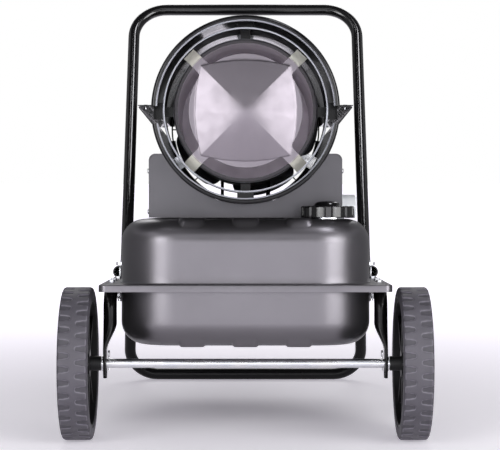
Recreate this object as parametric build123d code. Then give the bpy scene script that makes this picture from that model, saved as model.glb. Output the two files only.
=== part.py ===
from build123d import *
from math import asin, atan2, cos, degrees, hypot, radians, sin, sqrt, tan
import os

# A forced air heater on two wheels. Millimetres.
# Everything is laid out in the frame of the fuel tank: x to the right, y to the rear, z up.
# The origin is on the heater's middle plane, above the axle, at the top face of the tank's flange.
# The last function tips the whole heater onto its wheels and its foot bar.

# ---- clearances
fit_gap = 0.05            # radial, a shaft in its own bore
hole_gap = 0.4            # radial, a bolt or a screw in its hole
seat_gap = 0.3            # between curved faces that rest on each other
slide_gap = 0.1           # between flat faces that rub
pin_fit = 0.15            # radial, a split pin in its hole
beyond = 3000.0           # past the whole heater, for cutting blocks

# ---- fuel tank
tank_half_w = 204.0
tank_front = -78.0
tank_back = 562.0
tank_top = 105.0          # height of the upper half above the flange
tank_bottom = 100.0       # depth of the lower half below the flange
tank_corner = 90.0        # plan corner
tank_edge = 38.0          # rounding of the top and bottom edges
sheet = 1.5               # tank wall
flange_side = 31.0        # how far the flange stands out at the sides
flange_front = 10.0
flange_back = 13.0
flange_corner = 12.0
lip_h = 11.5              # turned-down lip round the flange
rib_w = 40.0              # stamped ribs
rib_h = 1.8
rib_count = 3
rib_corner = 12.0
rib_inset = 4.0           # rib's end to the rounded edge
rib_gap = 0.5             # rib's side to the filler's collar
drain_inset = 60.0        # drain plug to the rear edge's rounding
drain_r = 6.0
drain_l = 9.0
drain_head_r = 9.0
drain_head_h = 6.0

# ---- filler
neck_inset = 70.0         # filler's axis to the tank's side
neck_y = -5.0
neck_r = 24.0
neck_h = 13.0
neck_wall = 1.5
neck_collar_r = 27.5
neck_collar_t = 1.6
neck_dip = 8.0            # the neck's tube below the tank's top
lug_count = 2
lug_w = 9.0
lug_t = 3.0
lug_out = 3.0
cap_r = 43.5
cap_skirt_h = 18.5
cap_lift_gap = 0.6        # air under the cap's skirt
cap_dome_r = 22.0
cap_dome_h = 9.0
cap_room = 3.0            # over the neck's end, for the seal
cap_bevel = 1.0
seal_t = 2.2
cap_lobes = 10
lobe_r = 16.0             # radius of the scoops between the lobes
lobe_depth = 2.6
strainer_r = 20.0
strainer_h = 42.0
strainer_wall = 0.8
strainer_slots = 8
slot_w = 5.0

# ---- frame tubes, axle and wheels
tube_r = 11.0
tube_wall = 1.8
rail_gap = 18.0           # tank's side wall to both frames' tubes
axle_z = -132.0
axle_r = 7.5
leg_bend = 30.0
leg_round_z = -66.0       # the leg is round down to here
leg_flat_z = -112.0       # and flat from here
leg_tip_z = -156.0
leg_t = 5.5
leg_w = 34.0
foot_y = 654.0
foot_z = -207.5
foot_spread = 9.0         # foot's corners outside the rails
foot_knee_y = 566.0
foot_bend = 54.0
knee_bend = 48.0
handle_front = 215.0      # open front ends of the handle tube
handle_knee_y = 407.0
handle_bar_y = 680.0
handle_bar_z = 521.0
handle_knee = 50.0
handle_bend = 64.0
wheel_r = 125.0
wheel_w = 48.0
wheel_gap = 28.0          # rails to the wheels' inner faces
tyre_t = 19.0
tyre_edge = 5.0           # the tread's worn-round shoulders
pocket_count = 36
pocket_l = 20.0
pocket_w = 13.0
pocket_flare = 0.8
pocket_tip_r = 4.0
pocket_depth = 1.6
hub_r = 12.0
hub_play = 1.9            # along the axle, hub to washer
hub_inset = 8.0           # outer hub end behind the wheel's outer face
rim_t = 5.0
web_t = 4.0
web_inset = 15.0          # web's outer face behind the wheel's outer face
spoke_count = 8
spoke_t = 4.0
spoke_low = 5.0           # spokes in from the rim's inner edge
spoke_high = 7.0          # and from its outer edge
boss_r = 22.0
boss_low = 4.0
boss_high = 10.0
washer_r = 13.0
washer_t = 1.6
pin_r = 1.5
pin_l = 24.0
pin_eye_r = 4.0
pin_stand = 2.0           # pin's side to the leg
pin_slack = 0.5           # pin's side to the washer
axle_bevel = 1.2
leg_corner = 8.0

# ---- fasteners
bolt_r = 4.0
bolt_head_r = 7.0
bolt_head_h = 5.3
bolt_tail = 12.0          # thread past the nut
bolt_rows = (240.0, 350.0)
screw_r = 3.0
screw_head_r = 5.5
screw_head_h = 4.0
screw_rows = (34.0, 90.0, 192.0)
screw_tail = 5.0
lock_nut_r = 6.1
lock_nut_h = 5.0
small_r = 2.0
small_head_r = 4.2
small_head_h = 2.4

# ---- barrel
barrel_r = 150.0
barrel_lift = 22.2        # barrel's lowest line above the box's floor
barrel_front = -100.0
barrel_back = 640.0
barrel_sheet = 1.5
bead_r = 3.0              # rolled front and rear edge
seam_out = 21.0           # how far the folded side seams stand out
seam_top = 6.0            # seam's top fold above the axis
seam_low = 23.0           # seam's lower fold below the axis
seam_lap = 3.0
seam_screws = 5
seam_screw_l = 5.0
seam_end = 45.0           # first seam screw behind the barrel's edge
mouth_gap = 18.0          # barrel's radius to the guide's
guide_front = -86.0
guide_back = 30.0
guide_edge = 3.0
bracket_w = 27.0
strap_l = 20.0
chamber_gap = 16.0        # guide's radius to the chamber's
chamber_front = -58.0
chamber_back = 310.0
chamber_sheet = 1.5
chamber_lip = 7.0
chamber_turn = 10.0
tie_w = 16.0              # chamber brackets
burner_sheet = 2.0
swirl_count = 12          # slots in the burner plate
swirl_r = 64.0
swirl_l = 30.0
swirl_w = 6.0
swirl_angle = 35.0

# ---- flame deflector
disc_gap = 24.0           # chamber's radius to the disc's
disc_sheet = 1.5
disc_y = -62.0            # rear face of the disc
tab_w = 22.0
tab_fold_gap = 6.0        # chamber's radius to the tabs' fold
tab_end_gap = 3.0         # guide's radius to the tabs' ends
tab_corner = 6.0
tab_drop = 12.0
pillow_inset = 21.0       # disc's edge to the pressed cross
pillow_bulge = 9.0
pillow_h = 18.0
pillow_top_half = 15.0
pillow_crown_r = 3.0

# ---- burner and power train
nozzle_y = 328.0
nozzle_r = 12.0
nozzle_front = 4.0
nozzle_tail = 14.0
nozzle_flange = 5.0
nozzle_flange_t = 5.5
tip_r = 6.0
tip_l = 10.0
port_l = 20.0             # half length of the burner's side ports
port_wall = 2.5
igniter_up = 28.0
igniter_r = 5.0
igniter_front = 16.0
igniter_tail = 10.0
igniter_flange = 3.0
igniter_flange_t = 7.5
electrode_r = 1.2
electrode_l = 14.0
sensor_front = 6.5
sensor_tail = 19.5
line_r = 3.0
line_bend = 14.0
line_turn = 8.0
line_clear = 3.0          # radial, round a line where it passes the barrel
line_drop = 9.0           # air line below the barrel's lowest line
fuel_x = -42.0
air_x = 42.0
pickup_top = 12.0         # pickup's end above the tank's top
pickup_foot = 14.0        # and its foot above the tank's bottom
grommet_r = 9.0
grommet_h = 5.0
bulb_r = 10.0
bulb_l = 34.0
bulb_drop = 5.0
bulb_bevel = 3.0
fan_front = 372.0
fan_gap = 14.5            # blade tips to the barrel's wall
fan_hub_r = 25.0
fan_hub_l = 26.0
fan_blades = 5
blade_t = 1.6
blade_angle = 20.0        # pitch
blade_span = 64.0         # degrees each blade covers round the hub
blade_corner = 22.0
blade_root = 2.0          # blades' depth in the hub
shaft_r = 5.0
shaft_nose = 4.0
shaft_tail = 16.5
motor_front = 408.0
motor_l = 80.0
motor_r = 50.0
motor_bevel = 3.0
bell_r = 44.0
bell_l = 14.0
fin_count = 8
fin_w = 8.0
fin_h = 3.0
fin_inset = 6.0
mount_t = 2.5
mount_w = 24.0
mount_ring = 16.0
mount_back = 3.0
mount_legs = 3
mount_sag = 1.5           # a flat foot inside the round wall
pump_r = 40.0
pump_l = 21.0
pump_port_l = 22.0
pump_port_drop = 26.0     # port's middle below the axis
pump_neck_l = 16.0
pump_neck_w = 12.0
pump_neck_h = 8.0
cavity_r = 33.0
cavity_off = 3.0
cavity_l = 12.0
rotor_r = 28.0
rotor_play = 0.5
vane_count = 4
vane_t = 4.0
vane_gap = 0.6
cover_plate_l = 12.0
cover_bevel = 1.5
filter_r = 18.0
filter_x = -12.0
filter_up = 10.0
filter_l = 22.0
boss_screw_r = 6.0
boss_screw_x = -4.0
boss_screw_up = -26.0
boss_screw_l = 20.0
gauge_r = 16.0
gauge_l = 14.0
gauge_x = 22.0
gauge_up = -6.0
gauge_rim = 2.0
gauge_stem_r = 5.0
gauge_stem_l = 4.0
guard_wire = 3.0
guard_ring_count = 3
guard_dome = 14.0
guard_spokes = 8

# ---- control box
box_overhang = 10.0       # box's side past the barrel's
box_front = 55.0
box_back = 520.0
box_h = 105.2
box_corner = 11.0
box_sheet = 1.5
box_flange = 14.0
cover_gap = 0.6           # side cover's end to the end panel's face
cover_lap = 3.0           # side cover's top edge to the barrel
cover_screw_inset = 8.0
cover_screw_low = 10.0
cover_screw_high = 78.0
cover_screw_l = 7.0
tray_gap = 3.0
tray_side = 4.0
tray_hole_r = 10.0
knob_y = 110.0
knob_up = 19.0            # knob's axis above the box's floor
knob_r = 20.0
knob_l = 24.0
knob_stand = 0.5          # knob's rear face off the cover
knob_bevel = 1.0
knob_grip_h = 6.0
knob_groove_w = 1.2
knob_groove_d = 0.8
knob_rib_w = 6.0
knob_rib_h = 2.4
knob_rib_inset = 4.0
thermostat_r = 12.0
thermostat_l = 18.0
spindle_r = 3.0
spindle_l = 22.0
spindle_root = 6.0
switch_y = 205.0
switch_up = 42.0
switch_w = 26.0
switch_h = 20.0
bezel_t = 2.4
bezel_w = 3.0
well_l = 22.0
well_wall = 2.5
room_l = 16.0
rocker_depth = 4.0        # rocker's pin behind the cover's face
rocker_tilt = 10.0
rocker_pin_r = 1.5
rocker_side = 1.5
gland_r = 9.0
gland_head_l = 6.0
gland_neck_l = 8.0
gland_neck_wall = 2.8
gland_bore = 4.0
gland_inset = 32.0        # gland's axis to the box's side
gland_up = 26.0
board_up = 10.0           # the control board above the box's floor
board_w = 64.0
board_l = 150.0
board_t = 1.6
board_inset = 16.0        # board's edge to the box's side
board_start = 100.0       # board's front edge behind the front panel
board_stand_r = 3.0
board_stand_inset = 4.0
chip_count = 4
chip_w = 16.0
chip_h = 12.0
transformer_w = 60.0
transformer_l = 70.0
transformer_h = 36.0
transformer_inset = 20.0  # its side to the box's side
transformer_end = 105.0   # its rear end to the rear panel
transformer_corner = 5.0
terminal_r = 5.0
terminal_l = 8.0
terminal_x = -12.0

# ---- worked out
neck_x = tank_half_w - neck_inset
rib_pitch = neck_x - neck_collar_r - rib_gap - rib_w / 2
drain_y = tank_back - tank_edge - drain_inset
cap_hollow_h = neck_h - neck_collar_t - cap_lift_gap + cap_room
rail_x = tank_half_w + rail_gap
foot_x = rail_x + foot_spread
wheel_inner_x = rail_x + wheel_gap
box_floor = tank_top + rib_h
box_top = box_floor + box_h
barrel_z = box_floor + barrel_lift + barrel_r
guide_r = barrel_r - mouth_gap
chamber_r = guide_r - chamber_gap
chamber_lip_r = chamber_r - chamber_lip
disc_r = chamber_r - disc_gap
tab_flat_r = chamber_r - tab_fold_gap
tab_end_r = guide_r - tab_end_gap
pillow_half = disc_r - pillow_inset
plate_back = chamber_back - chamber_sheet
plate_front = plate_back - burner_sheet
fan_r = barrel_r - barrel_sheet - fan_gap
pump_front = motor_front + motor_l
pump_back = pump_front + pump_l + slide_gap
pump_port_y = pump_front + pump_l / 2
box_half_w = barrel_r + box_overhang
cover_x = box_half_w + slide_gap
cover_face_x = cover_x + box_sheet
gland_x = box_half_w - gland_inset
rail_low_z = -2 * sheet - tube_r
rail_top_z = tube_r
wheel_mid_x = wheel_inner_x + wheel_w / 2
wheel_outer_x = wheel_inner_x + wheel_w
axle_half = wheel_outer_x - 1.0
leg_face_x = rail_x + tube_r
leg_x = leg_face_x - leg_t / 2
hub_inner_x = leg_face_x + slide_gap + washer_t + hub_play
hub_outer_x = wheel_outer_x - hub_inset
spread = hypot(foot_y, foot_z - axle_z)
tilt = degrees(asin((wheel_r - tube_r) / spread) - atan2(axle_z - foot_z, foot_y))
bar_over_axle = handle_bar_z - axle_z
row_front = -wheel_r
row_back = handle_bar_y * cos(radians(tilt)) + bar_over_axle * sin(radians(tilt)) + tube_r
row_shift = -(row_front + row_back) / 2


# ---- helpers


def tube(points, radii, outer_r, wall):
    """A round tube along straight runs, with a round bend at each corner."""
    path = FilletPolyline(*points, radius=radii)
    start = Plane(origin=path @ 0, z_dir=path % 0)
    return sweep(start * (Circle(outer_r) - Circle(outer_r - wall)), path=path)


def rod(points, radii, outer_r):
    path = FilletPolyline(*points, radius=radii)
    return sweep(Plane(origin=path @ 0, z_dir=path % 0) * Circle(outer_r), path=path)


def polygon_face(points):
    return make_face(Polyline(*points, close=True))


def turned(points):
    """A ring from an outline of (radius, station) points, turned about the barrel's axis."""
    return Pos(0, 0, barrel_z) * revolve(polygon_face(points), Axis.Y)


def along_barrel(sketch, start, end):
    """A sketch seen from the front, x right and y up, carried from one station to another."""
    return Pos(0, end, barrel_z) * Rot(90, 0, 0) * extrude(sketch, end - start)


def facing_x(x, y, z, shape):
    """Turns a shape's +Z towards +X."""
    return Pos(x, y, z) * Rot(0, 90, 0) * shape


def drill(shape, points, radius, depth=60.0):
    """Vertical holes through a shape, each centred on its point."""
    for point in points:
        shape -= Pos(*point) * Cylinder(radius, depth)
    return shape


def both_sides(rows, x):
    return [(side * x, y) for side in (-1, 1) for y in rows]


def screw(head_r, head_h, shank_r, length):
    """A round-headed screw that hangs down from z = 0, with a cross in its head."""
    head = Pos(0, 0, head_h / 2) * Cylinder(head_r, head_h)
    head = chamfer(head.edges().group_by(Axis.Z)[-1], head_h * 0.4)
    slot = Pos(0, 0, head_h) * (Box(head_r, 0.9, head_h * 0.7) + Box(0.9, head_r, head_h * 0.7))
    return head - slot + Pos(0, 0, -length / 2) * Cylinder(shank_r, length)


def hex_bolt(shank_r, length, head_r, head_h):
    head = extrude(RegularPolygon(head_r, 6), head_h)
    return head + Pos(0, 0, -length / 2) * Cylinder(shank_r, length)


def hex_nut(bore_r, across_r, height):
    return extrude(RegularPolygon(across_r, 6) - Circle(bore_r + fit_gap), height)


# ---- fuel tank


def plan(inset, side=0.0, front=0.0, back=0.0, corner=tank_corner):
    """The tank's outline from above, drawn in by an inset or let out at its sides and ends."""
    low, high = tank_front - front + inset, tank_back + back - inset
    width = 2 * (tank_half_w + side - inset)
    return Pos(0, (low + high) / 2) * RectangleRounded(width, high - low, corner - inset)


def rib_places():
    first = -(rib_count - 1) / 2
    return [(first + i) * rib_pitch for i in range(rib_count)]


def ribs(inset, height):
    low = tank_front + tank_edge + rib_inset
    high = tank_back - tank_edge - rib_inset
    outline = RectangleRounded(rib_w - 2 * inset, high - low - 2 * inset, rib_corner - inset)
    one = Pos(0, (low + high) / 2) * extrude(outline, height)
    return [Pos(x, 0, 0) * one for x in rib_places()]


def pan(depth, wall):
    """One pressed half of the tank, open side down: a deep pan with a rounded edge and ribs."""
    outer = extrude(plan(0), depth)
    outer = fillet(outer.edges().group_by(Axis.Z)[-1], tank_edge)
    inner = extrude(plan(wall), depth - wall)
    inner = fillet(inner.edges().group_by(Axis.Z)[-1], tank_edge - wall)
    near_top = Pos(0, 0, depth - wall) * Box(beyond, beyond, 2 * (wall + rib_h))
    for rib in ribs(0, depth + rib_h):
        outer += rib & near_top
    for rib in ribs(wall, depth + rib_h - wall):
        inner += rib & near_top
    return outer - inner


def flange_plan(inset):
    return plan(inset, flange_side, flange_front, flange_back, flange_corner)


def frame_holes():
    points = both_sides(bolt_rows, rail_x)
    screws = both_sides(screw_rows, rail_x)
    return [(x, y, 0) for x, y in points], [(x, y, 0) for x, y in screws]


def tank_upper_shell():
    shell = pan(tank_top, sheet)
    shell += Pos(0, 0, -sheet) * extrude(flange_plan(0) - plan(sheet), sheet)
    shell += Pos(0, 0, -lip_h) * extrude(flange_plan(0) - flange_plan(sheet), lip_h - sheet / 2)
    bolts, screws = frame_holes()
    shell = drill(shell, bolts, bolt_r + hole_gap)
    shell = drill(shell, screws, screw_r + hole_gap)
    return drill(shell, [(neck_x, neck_y, tank_top)], neck_r + hole_gap)


def tank_lower_shell():
    shell = Rot(180, 0, 0) * Pos(0, -(tank_front + tank_back), 0) * pan(tank_bottom, sheet)
    shell -= Pos(0, 0, -sheet / 2) * Box(beyond, beyond, sheet)
    rim = flange_plan(sheet + seat_gap) - plan(sheet)
    shell += Pos(0, 0, -2 * sheet) * extrude(rim, sheet)
    bolts, screws = frame_holes()
    shell = drill(shell, bolts, bolt_r + hole_gap)
    shell = drill(shell, screws, screw_r + hole_gap)
    return drill(shell, [(rib_pitch / 2, drain_y, -tank_bottom)], drain_r + hole_gap)


def drain_plug():
    plug = hex_bolt(drain_r, drain_l, drain_head_r, drain_head_h)
    return Pos(rib_pitch / 2, drain_y, -tank_bottom) * Rot(180, 0, 0) * plug


def filler_neck():
    """A bright pressed neck: a collar on the tank, a tube through it, and two bayonet lugs."""
    collar = Circle(neck_collar_r) - Circle(neck_r - neck_wall)
    neck = extrude(collar, neck_collar_t)
    pipe = Circle(neck_r) - Circle(neck_r - neck_wall)
    neck += Pos(0, 0, -neck_dip) * extrude(pipe, neck_h + neck_dip)
    lug = Box(lug_out + neck_wall, lug_w, lug_t)
    lug = Pos(neck_r + (lug_out - neck_wall) / 2, 0, neck_h - lug_t) * lug
    for i in range(lug_count):
        neck += Rot(0, 0, i * 360 / lug_count) * lug
    return Pos(neck_x, neck_y, tank_top) * neck


def filler_strainer():
    """The basket that hangs in the neck, with rows of slots round it."""
    wall = Circle(strainer_r) - Circle(strainer_r - strainer_wall)
    basket = extrude(wall, strainer_h) + extrude(Circle(strainer_r), strainer_wall)
    brim = Circle(neck_r - neck_wall - fit_gap * 2) - Circle(strainer_r - strainer_wall)
    basket += Pos(0, 0, strainer_h - strainer_wall) * extrude(brim, strainer_wall)
    for i in range(strainer_slots):
        slot = Rot(0, 0, i * 360 / strainer_slots) * Pos(strainer_r, 0, strainer_h * 0.45)
        basket -= slot * Box(slot_w, slot_w, strainer_h * 0.6)
    return Pos(neck_x, neck_y, tank_top + neck_h - strainer_h - strainer_wall) * basket


def cap_places():
    return neck_x, neck_y, tank_top + neck_collar_t + cap_lift_gap


def fuel_cap():
    """A moulded cap: ten lobes round its skirt, a low dome, hollow over the neck."""
    grip = Circle(cap_r)
    reach = cap_r + lobe_r - lobe_depth
    for i in range(cap_lobes):
        angle = radians((i + 0.5) * 360 / cap_lobes)
        grip -= Pos(reach * cos(angle), reach * sin(angle)) * Circle(lobe_r)
    cap = extrude(grip, cap_skirt_h)
    cap = chamfer(cap.edges().group_by(Axis.Z)[-1], cap_bevel)
    dome = loft([Circle(cap_dome_r), Pos(0, 0, cap_dome_h) * Circle(cap_dome_r * 0.55)])
    cap += Pos(0, 0, cap_skirt_h) * fillet(dome.edges().group_by(Axis.Z)[-1], cap_dome_h * 0.4)
    return Pos(*cap_places()) * (cap - extrude(Circle(neck_r + lug_out + 2), cap_hollow_h))


def cap_seal():
    x, y, z = cap_places()
    ring = Circle(neck_r + lug_out + 1.5) - Circle(neck_r - 3 * neck_wall)
    return Pos(x, y, z + cap_hollow_h - seal_t) * extrude(ring, seal_t)


# ---- frame, axle, wheels


def leg(side):
    """A front leg: round at the top, pressed flat and drilled at the axle."""
    round_top = RectangleRounded(2 * tube_r, 2 * tube_r, tube_r - fit_gap)
    flat_low = RectangleRounded(leg_t, leg_w, leg_t / 2 - fit_gap)
    top = Pos(side * rail_x, 0, leg_round_z) * round_top
    squeezed = loft([Pos(side * leg_x, 0, leg_flat_z) * flat_low, top], ruled=True)
    plate = extrude(RectangleRounded(leg_w, leg_flat_z - leg_tip_z, leg_corner), leg_t)
    plate = Rot(0, 0, 90) * plate
    plate = facing_x(side * leg_x - leg_t / 2, 0, (leg_flat_z + leg_tip_z) / 2, plate)
    upper = Pos(side * leg_x, 0, leg_flat_z - 0.75 * leg_corner) * Box(leg_t, leg_w, 1.5 * leg_corner)
    bore = facing_x(side * leg_x, 0, axle_z, Cylinder(axle_r + hole_gap, 4 * leg_t))
    return squeezed + plate + upper - bore


def lower_frame():
    path = []
    for side in (-1, 1):
        half = [
            (side * rail_x, 0, leg_round_z),
            (side * rail_x, 0, rail_low_z),
            (side * rail_x, foot_knee_y, rail_low_z),
            (side * foot_x, foot_y, foot_z),
        ]
        path += half if side < 0 else half[::-1]
    bends = [leg_bend, knee_bend, foot_bend]
    frame = tube(path, bends + bends[::-1], tube_r, tube_wall)
    frame += leg(-1)
    frame += leg(1)
    bolts, screws = frame_holes()
    frame = drill(frame, [(x, y, rail_low_z) for x, y, _ in bolts], bolt_r + hole_gap, 2.2 * tube_r)
    return drill(frame, [(x, y, rail_low_z) for x, y, _ in screws], screw_r + hole_gap, 2.2 * tube_r)


def handle_frame():
    path = [
        (-rail_x, handle_front, rail_top_z),
        (-rail_x, handle_knee_y, rail_top_z),
        (-rail_x, handle_bar_y, handle_bar_z),
        (rail_x, handle_bar_y, handle_bar_z),
        (rail_x, handle_knee_y, rail_top_z),
        (rail_x, handle_front, rail_top_z),
    ]
    radii = [handle_knee, handle_bend, handle_bend, handle_knee]
    frame = tube(path, radii, tube_r, tube_wall)
    bolts, _ = frame_holes()
    return drill(frame, [(x, y, rail_top_z) for x, y, _ in bolts], bolt_r + hole_gap, 2.2 * tube_r)


def frame_bolts():
    reach = 2 * tube_r + 2 * sheet + 2 * tube_r
    bolt = hex_bolt(bolt_r, reach + bolt_head_h + bolt_tail, bolt_head_r, bolt_head_h)
    return [Pos(x, y, 2 * tube_r + fit_gap) * bolt for x, y in both_sides(bolt_rows, rail_x)]


def frame_nuts():
    nut = hex_nut(bolt_r, bolt_head_r, bolt_head_h)
    low = rail_low_z - tube_r - bolt_head_h - fit_gap
    nuts = [Pos(x, y, low) * nut for x, y in both_sides(bolt_rows, rail_x)]
    lock = hex_nut(screw_r, lock_nut_r, lock_nut_h)
    low = rail_low_z - tube_r - lock_nut_h - fit_gap
    return nuts + [Pos(x, y, low) * lock for x, y in both_sides(screw_rows, rail_x)]


def flange_screws():
    reach = 2 * sheet + 2 * tube_r + lock_nut_h + screw_tail
    one = hex_bolt(screw_r, reach, screw_head_r, screw_head_h)
    return [Pos(x, y, 0) * one for x, y in both_sides(screw_rows, rail_x)]


def pin_stations():
    inner = leg_face_x - leg_t - pin_stand - pin_r
    outer = hub_outer_x + slide_gap + washer_t + pin_slack + pin_r
    return [side * x for side in (-1, 1) for x in (inner, outer)]


def axle():
    bar = facing_x(0, 0, axle_z, Cylinder(axle_r, 2 * axle_half))
    bar = chamfer(bar.edges().filter_by(GeomType.CIRCLE), axle_bevel)
    return drill(bar, [(x, 0, axle_z) for x in pin_stations()], pin_r + pin_fit)


def split_pins():
    """Split pins through the axle: a straight shank with an eye at its top."""
    shank = Cylinder(pin_r, pin_l)
    ring = extrude(Circle(pin_eye_r + pin_r) - Circle(pin_eye_r - pin_r), 2 * pin_r)
    ring = chamfer(ring.edges().filter_by(GeomType.CIRCLE), pin_r * 0.5)
    eye = Pos(-pin_r, 0, pin_l / 2 + pin_eye_r) * Rot(0, 90, 0) * ring
    return [Pos(x, 0, axle_z) * (shank + eye) for x in pin_stations()]


def wheel_washers():
    ring = extrude(Circle(washer_r) - Circle(axle_r + hole_gap), washer_t)
    starts = (leg_face_x + slide_gap, hub_outer_x + slide_gap)
    return [
        facing_x(side * (start + washer_t / 2) - washer_t / 2, 0, axle_z, ring)
        for side in (-1, 1)
        for start in starts
    ]


def pocket(side):
    """One tread pocket: a tongue that starts at the tyre's edge and ends round near its middle."""
    edge = side * (wheel_w / 2 + 1)
    tip = side * (wheel_w / 2 - pocket_l)
    wide = pocket_w / 2 + pocket_flare
    outline = polygon_face([(edge, -wide), (tip, -pocket_tip_r), (tip, pocket_tip_r), (edge, wide)])
    corners = outline.vertices().sort_by(Axis.X)
    tips = corners[:2] if side > 0 else corners[-2:]
    outline = fillet(tips, pocket_tip_r * 0.8)
    return extrude(outline, 4 * pocket_depth)


def tyre(side):
    """A solid tyre with two staggered rows of tread pockets beside a plain middle rib."""
    bore, half, edge = wheel_r - tyre_t, wheel_w / 2, tyre_edge
    worn = 0.3 * edge
    corner = [(wheel_r, half - edge), (wheel_r - worn, half - worn), (wheel_r - edge, half)]
    outline = [(bore, half), (bore, -half)] + [(r, -h) for r, h in corner[::-1]] + corner
    ring = revolve(Plane.XZ * polygon_face(outline), Axis.Z)
    pitch = 360 / pocket_count
    tools = []
    for row in (-1, 1):
        # sketch x runs along the axle and sketch z points out of the tread
        tool = Pos(wheel_r - pocket_depth, 0, 0) * Rot(0, 90, 0) * pocket(row)
        offset = pitch / 2 if row > 0 else 0
        tools += [Rot(0, 0, i * pitch + offset) * tool for i in range(pocket_count)]
    ring = ring.cut(*tools)
    return facing_x(side * wheel_mid_x, 0, axle_z, ring)


def wheel_rim(side):
    """A moulded wheel centre: rim band, dished web, spokes on both faces and a long inner hub."""
    seat = wheel_r - tyre_t
    half = wheel_w / 2 - 1
    band = Pos(0, 0, -half) * extrude(Circle(seat) - Circle(seat - rim_t), 2 * half)
    web = Pos(0, 0, half - web_inset - web_t) * extrude(Circle(seat - rim_t / 2), web_t)
    hub_low = hub_inner_x - wheel_mid_x
    hub_high = hub_outer_x - wheel_mid_x
    hub = Pos(0, 0, hub_low) * extrude(Circle(hub_r), hub_high - hub_low)
    boss = Pos(0, 0, -half + boss_low) * extrude(Circle(boss_r), 2 * half - boss_low - boss_high)
    wheel = band + web + hub + boss
    length = seat - rim_t - hub_r
    for i in range(spoke_count):
        rib = Box(length + rim_t, spoke_t, 2 * half - spoke_low - spoke_high)
        rib = Pos(hub_r + length / 2, 0, (spoke_low - spoke_high) / 2) * rib
        wheel += Rot(0, 0, i * 360 / spoke_count) * rib
    wheel -= Cylinder(axle_r + fit_gap, 4 * wheel_w)
    turned_out = wheel if side > 0 else Rot(180, 0, 0) * wheel
    return facing_x(side * wheel_mid_x, 0, axle_z, turned_out)


# ---- barrel


def half_shell(upper):
    """Half of the barrel: a rolled sheet with a bead at each end and a fold along each side."""
    wall, lip = barrel_sheet, barrel_r - 2 * bead_r
    inside, turn = barrel_r - wall, bead_r + wall / 2
    front = [
        (inside, barrel_front + turn), (barrel_r - turn, barrel_front + wall), (lip, barrel_front + wall),
        (lip, barrel_front), (barrel_r - bead_r, barrel_front), (barrel_r, barrel_front + bead_r),
    ]
    rear = [(radius, barrel_front + barrel_back - y) for radius, y in front[::-1]]
    profile = polygon_face(front + rear)
    ring = revolve(profile, Axis.Y)
    length = barrel_back - barrel_front
    middle = (barrel_front + barrel_back) / 2
    split = seam_top if upper else -seam_low
    sign = 1 if upper else -1
    keep = Pos(0, middle, split + sign * barrel_r) * Box(3 * barrel_r, 2 * length, 2 * barrel_r)
    shell = Pos(0, 0, barrel_z) * (ring & keep)
    for side in (-1, 1):
        shell += seam_fold(side, upper)
    return shell


def wall_x(height, radius):
    return sqrt(radius ** 2 - height ** 2)


def seam_fold(side, upper):
    """The fold along one side: the upper sheet turns straight out, the lower one slants out to meet it."""
    tip = side * (barrel_r + seam_out)
    wall = barrel_sheet
    if upper:
        start = side * (wall_x(seam_top, barrel_r) - wall)
        outline = [(start, seam_top), (tip, seam_top), (tip, seam_top + wall), (start, seam_top + wall)]
    else:
        start = side * (wall_x(seam_low, barrel_r) - wall)
        flap = side * (barrel_r + seam_lap)
        under = seam_top - wall
        outline = [
            (start, -seam_low), (start, -seam_low - wall * 1.4), (tip, under - wall * 0.6), (tip, seam_top),
            (flap, seam_top), (flap, under), (tip - side * seam_lap, under),
        ]
    return along_barrel(polygon_face(outline), barrel_front + 2 * bead_r, barrel_back - 2 * bead_r)


def seam_places():
    first, last = barrel_front + seam_end, barrel_back - seam_end
    step = (last - first) / (seam_screws - 1)
    return [first + i * step for i in range(seam_screws)]


def barrel_upper_shell():
    shell = half_shell(True)
    x = barrel_r + seam_out / 2
    points = [(side * x, y, barrel_z + seam_top) for side in (-1, 1) for y in seam_places()]
    return drill(shell, points, small_r + hole_gap, 2 * seam_screw_l)


def barrel_lower_shell():
    shell = half_shell(False)
    x = barrel_r + seam_out / 2
    points = [(side * x, y, barrel_z + seam_top) for side in (-1, 1) for y in seam_places()]
    shell = drill(shell, points, small_r + hole_gap, 2 * seam_screw_l)
    low = barrel_z - barrel_r
    lines = [(fuel_x, nozzle_y, low), (air_x, nozzle_y, low), (air_x, pump_port_y, low)]
    return drill(shell, lines, line_r + line_clear)


def seam_screws_group():
    one = screw(small_head_r, small_head_h, small_r, seam_screw_l)
    x = barrel_r + seam_out / 2
    return [
        Pos(side * x, y, barrel_z + seam_top + barrel_sheet) * one
        for side in (-1, 1)
        for y in seam_places()
    ]


def air_guide():
    """The ring inside the mouth, with a turned edge in front."""
    wall, lip = barrel_sheet, guide_r - guide_edge
    return turned([
        (guide_r, guide_front), (guide_r, guide_back), (guide_r - wall, guide_back),
        (guide_r - wall, guide_front + wall), (lip, guide_front + wall), (lip, guide_front),
    ])


def strap(inside_r, outside_r, width, length):
    """A folded strap between two round walls: a foot along each and a wall across."""
    low = inside_r + seat_gap
    high = sqrt((outside_r - seat_gap) ** 2 - (width / 2) ** 2)
    foot = Box(width, length, barrel_sheet)
    feet = Pos(0, length / 2, low + barrel_sheet / 2) * foot
    feet += Pos(0, -length / 2, high - barrel_sheet / 2) * foot
    return feet + Pos(0, 0, (low + high) / 2) * Box(width, barrel_sheet, high - low)


def guide_brackets():
    """Four straps between the guide ring and the barrel's wall, one of them at the very top."""
    one = strap(guide_r, barrel_r - barrel_sheet, bracket_w, strap_l)
    return [Pos(0, guide_front + 2 * strap_l, barrel_z) * Rot(0, i * 90, 0) * one for i in range(4)]


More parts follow.
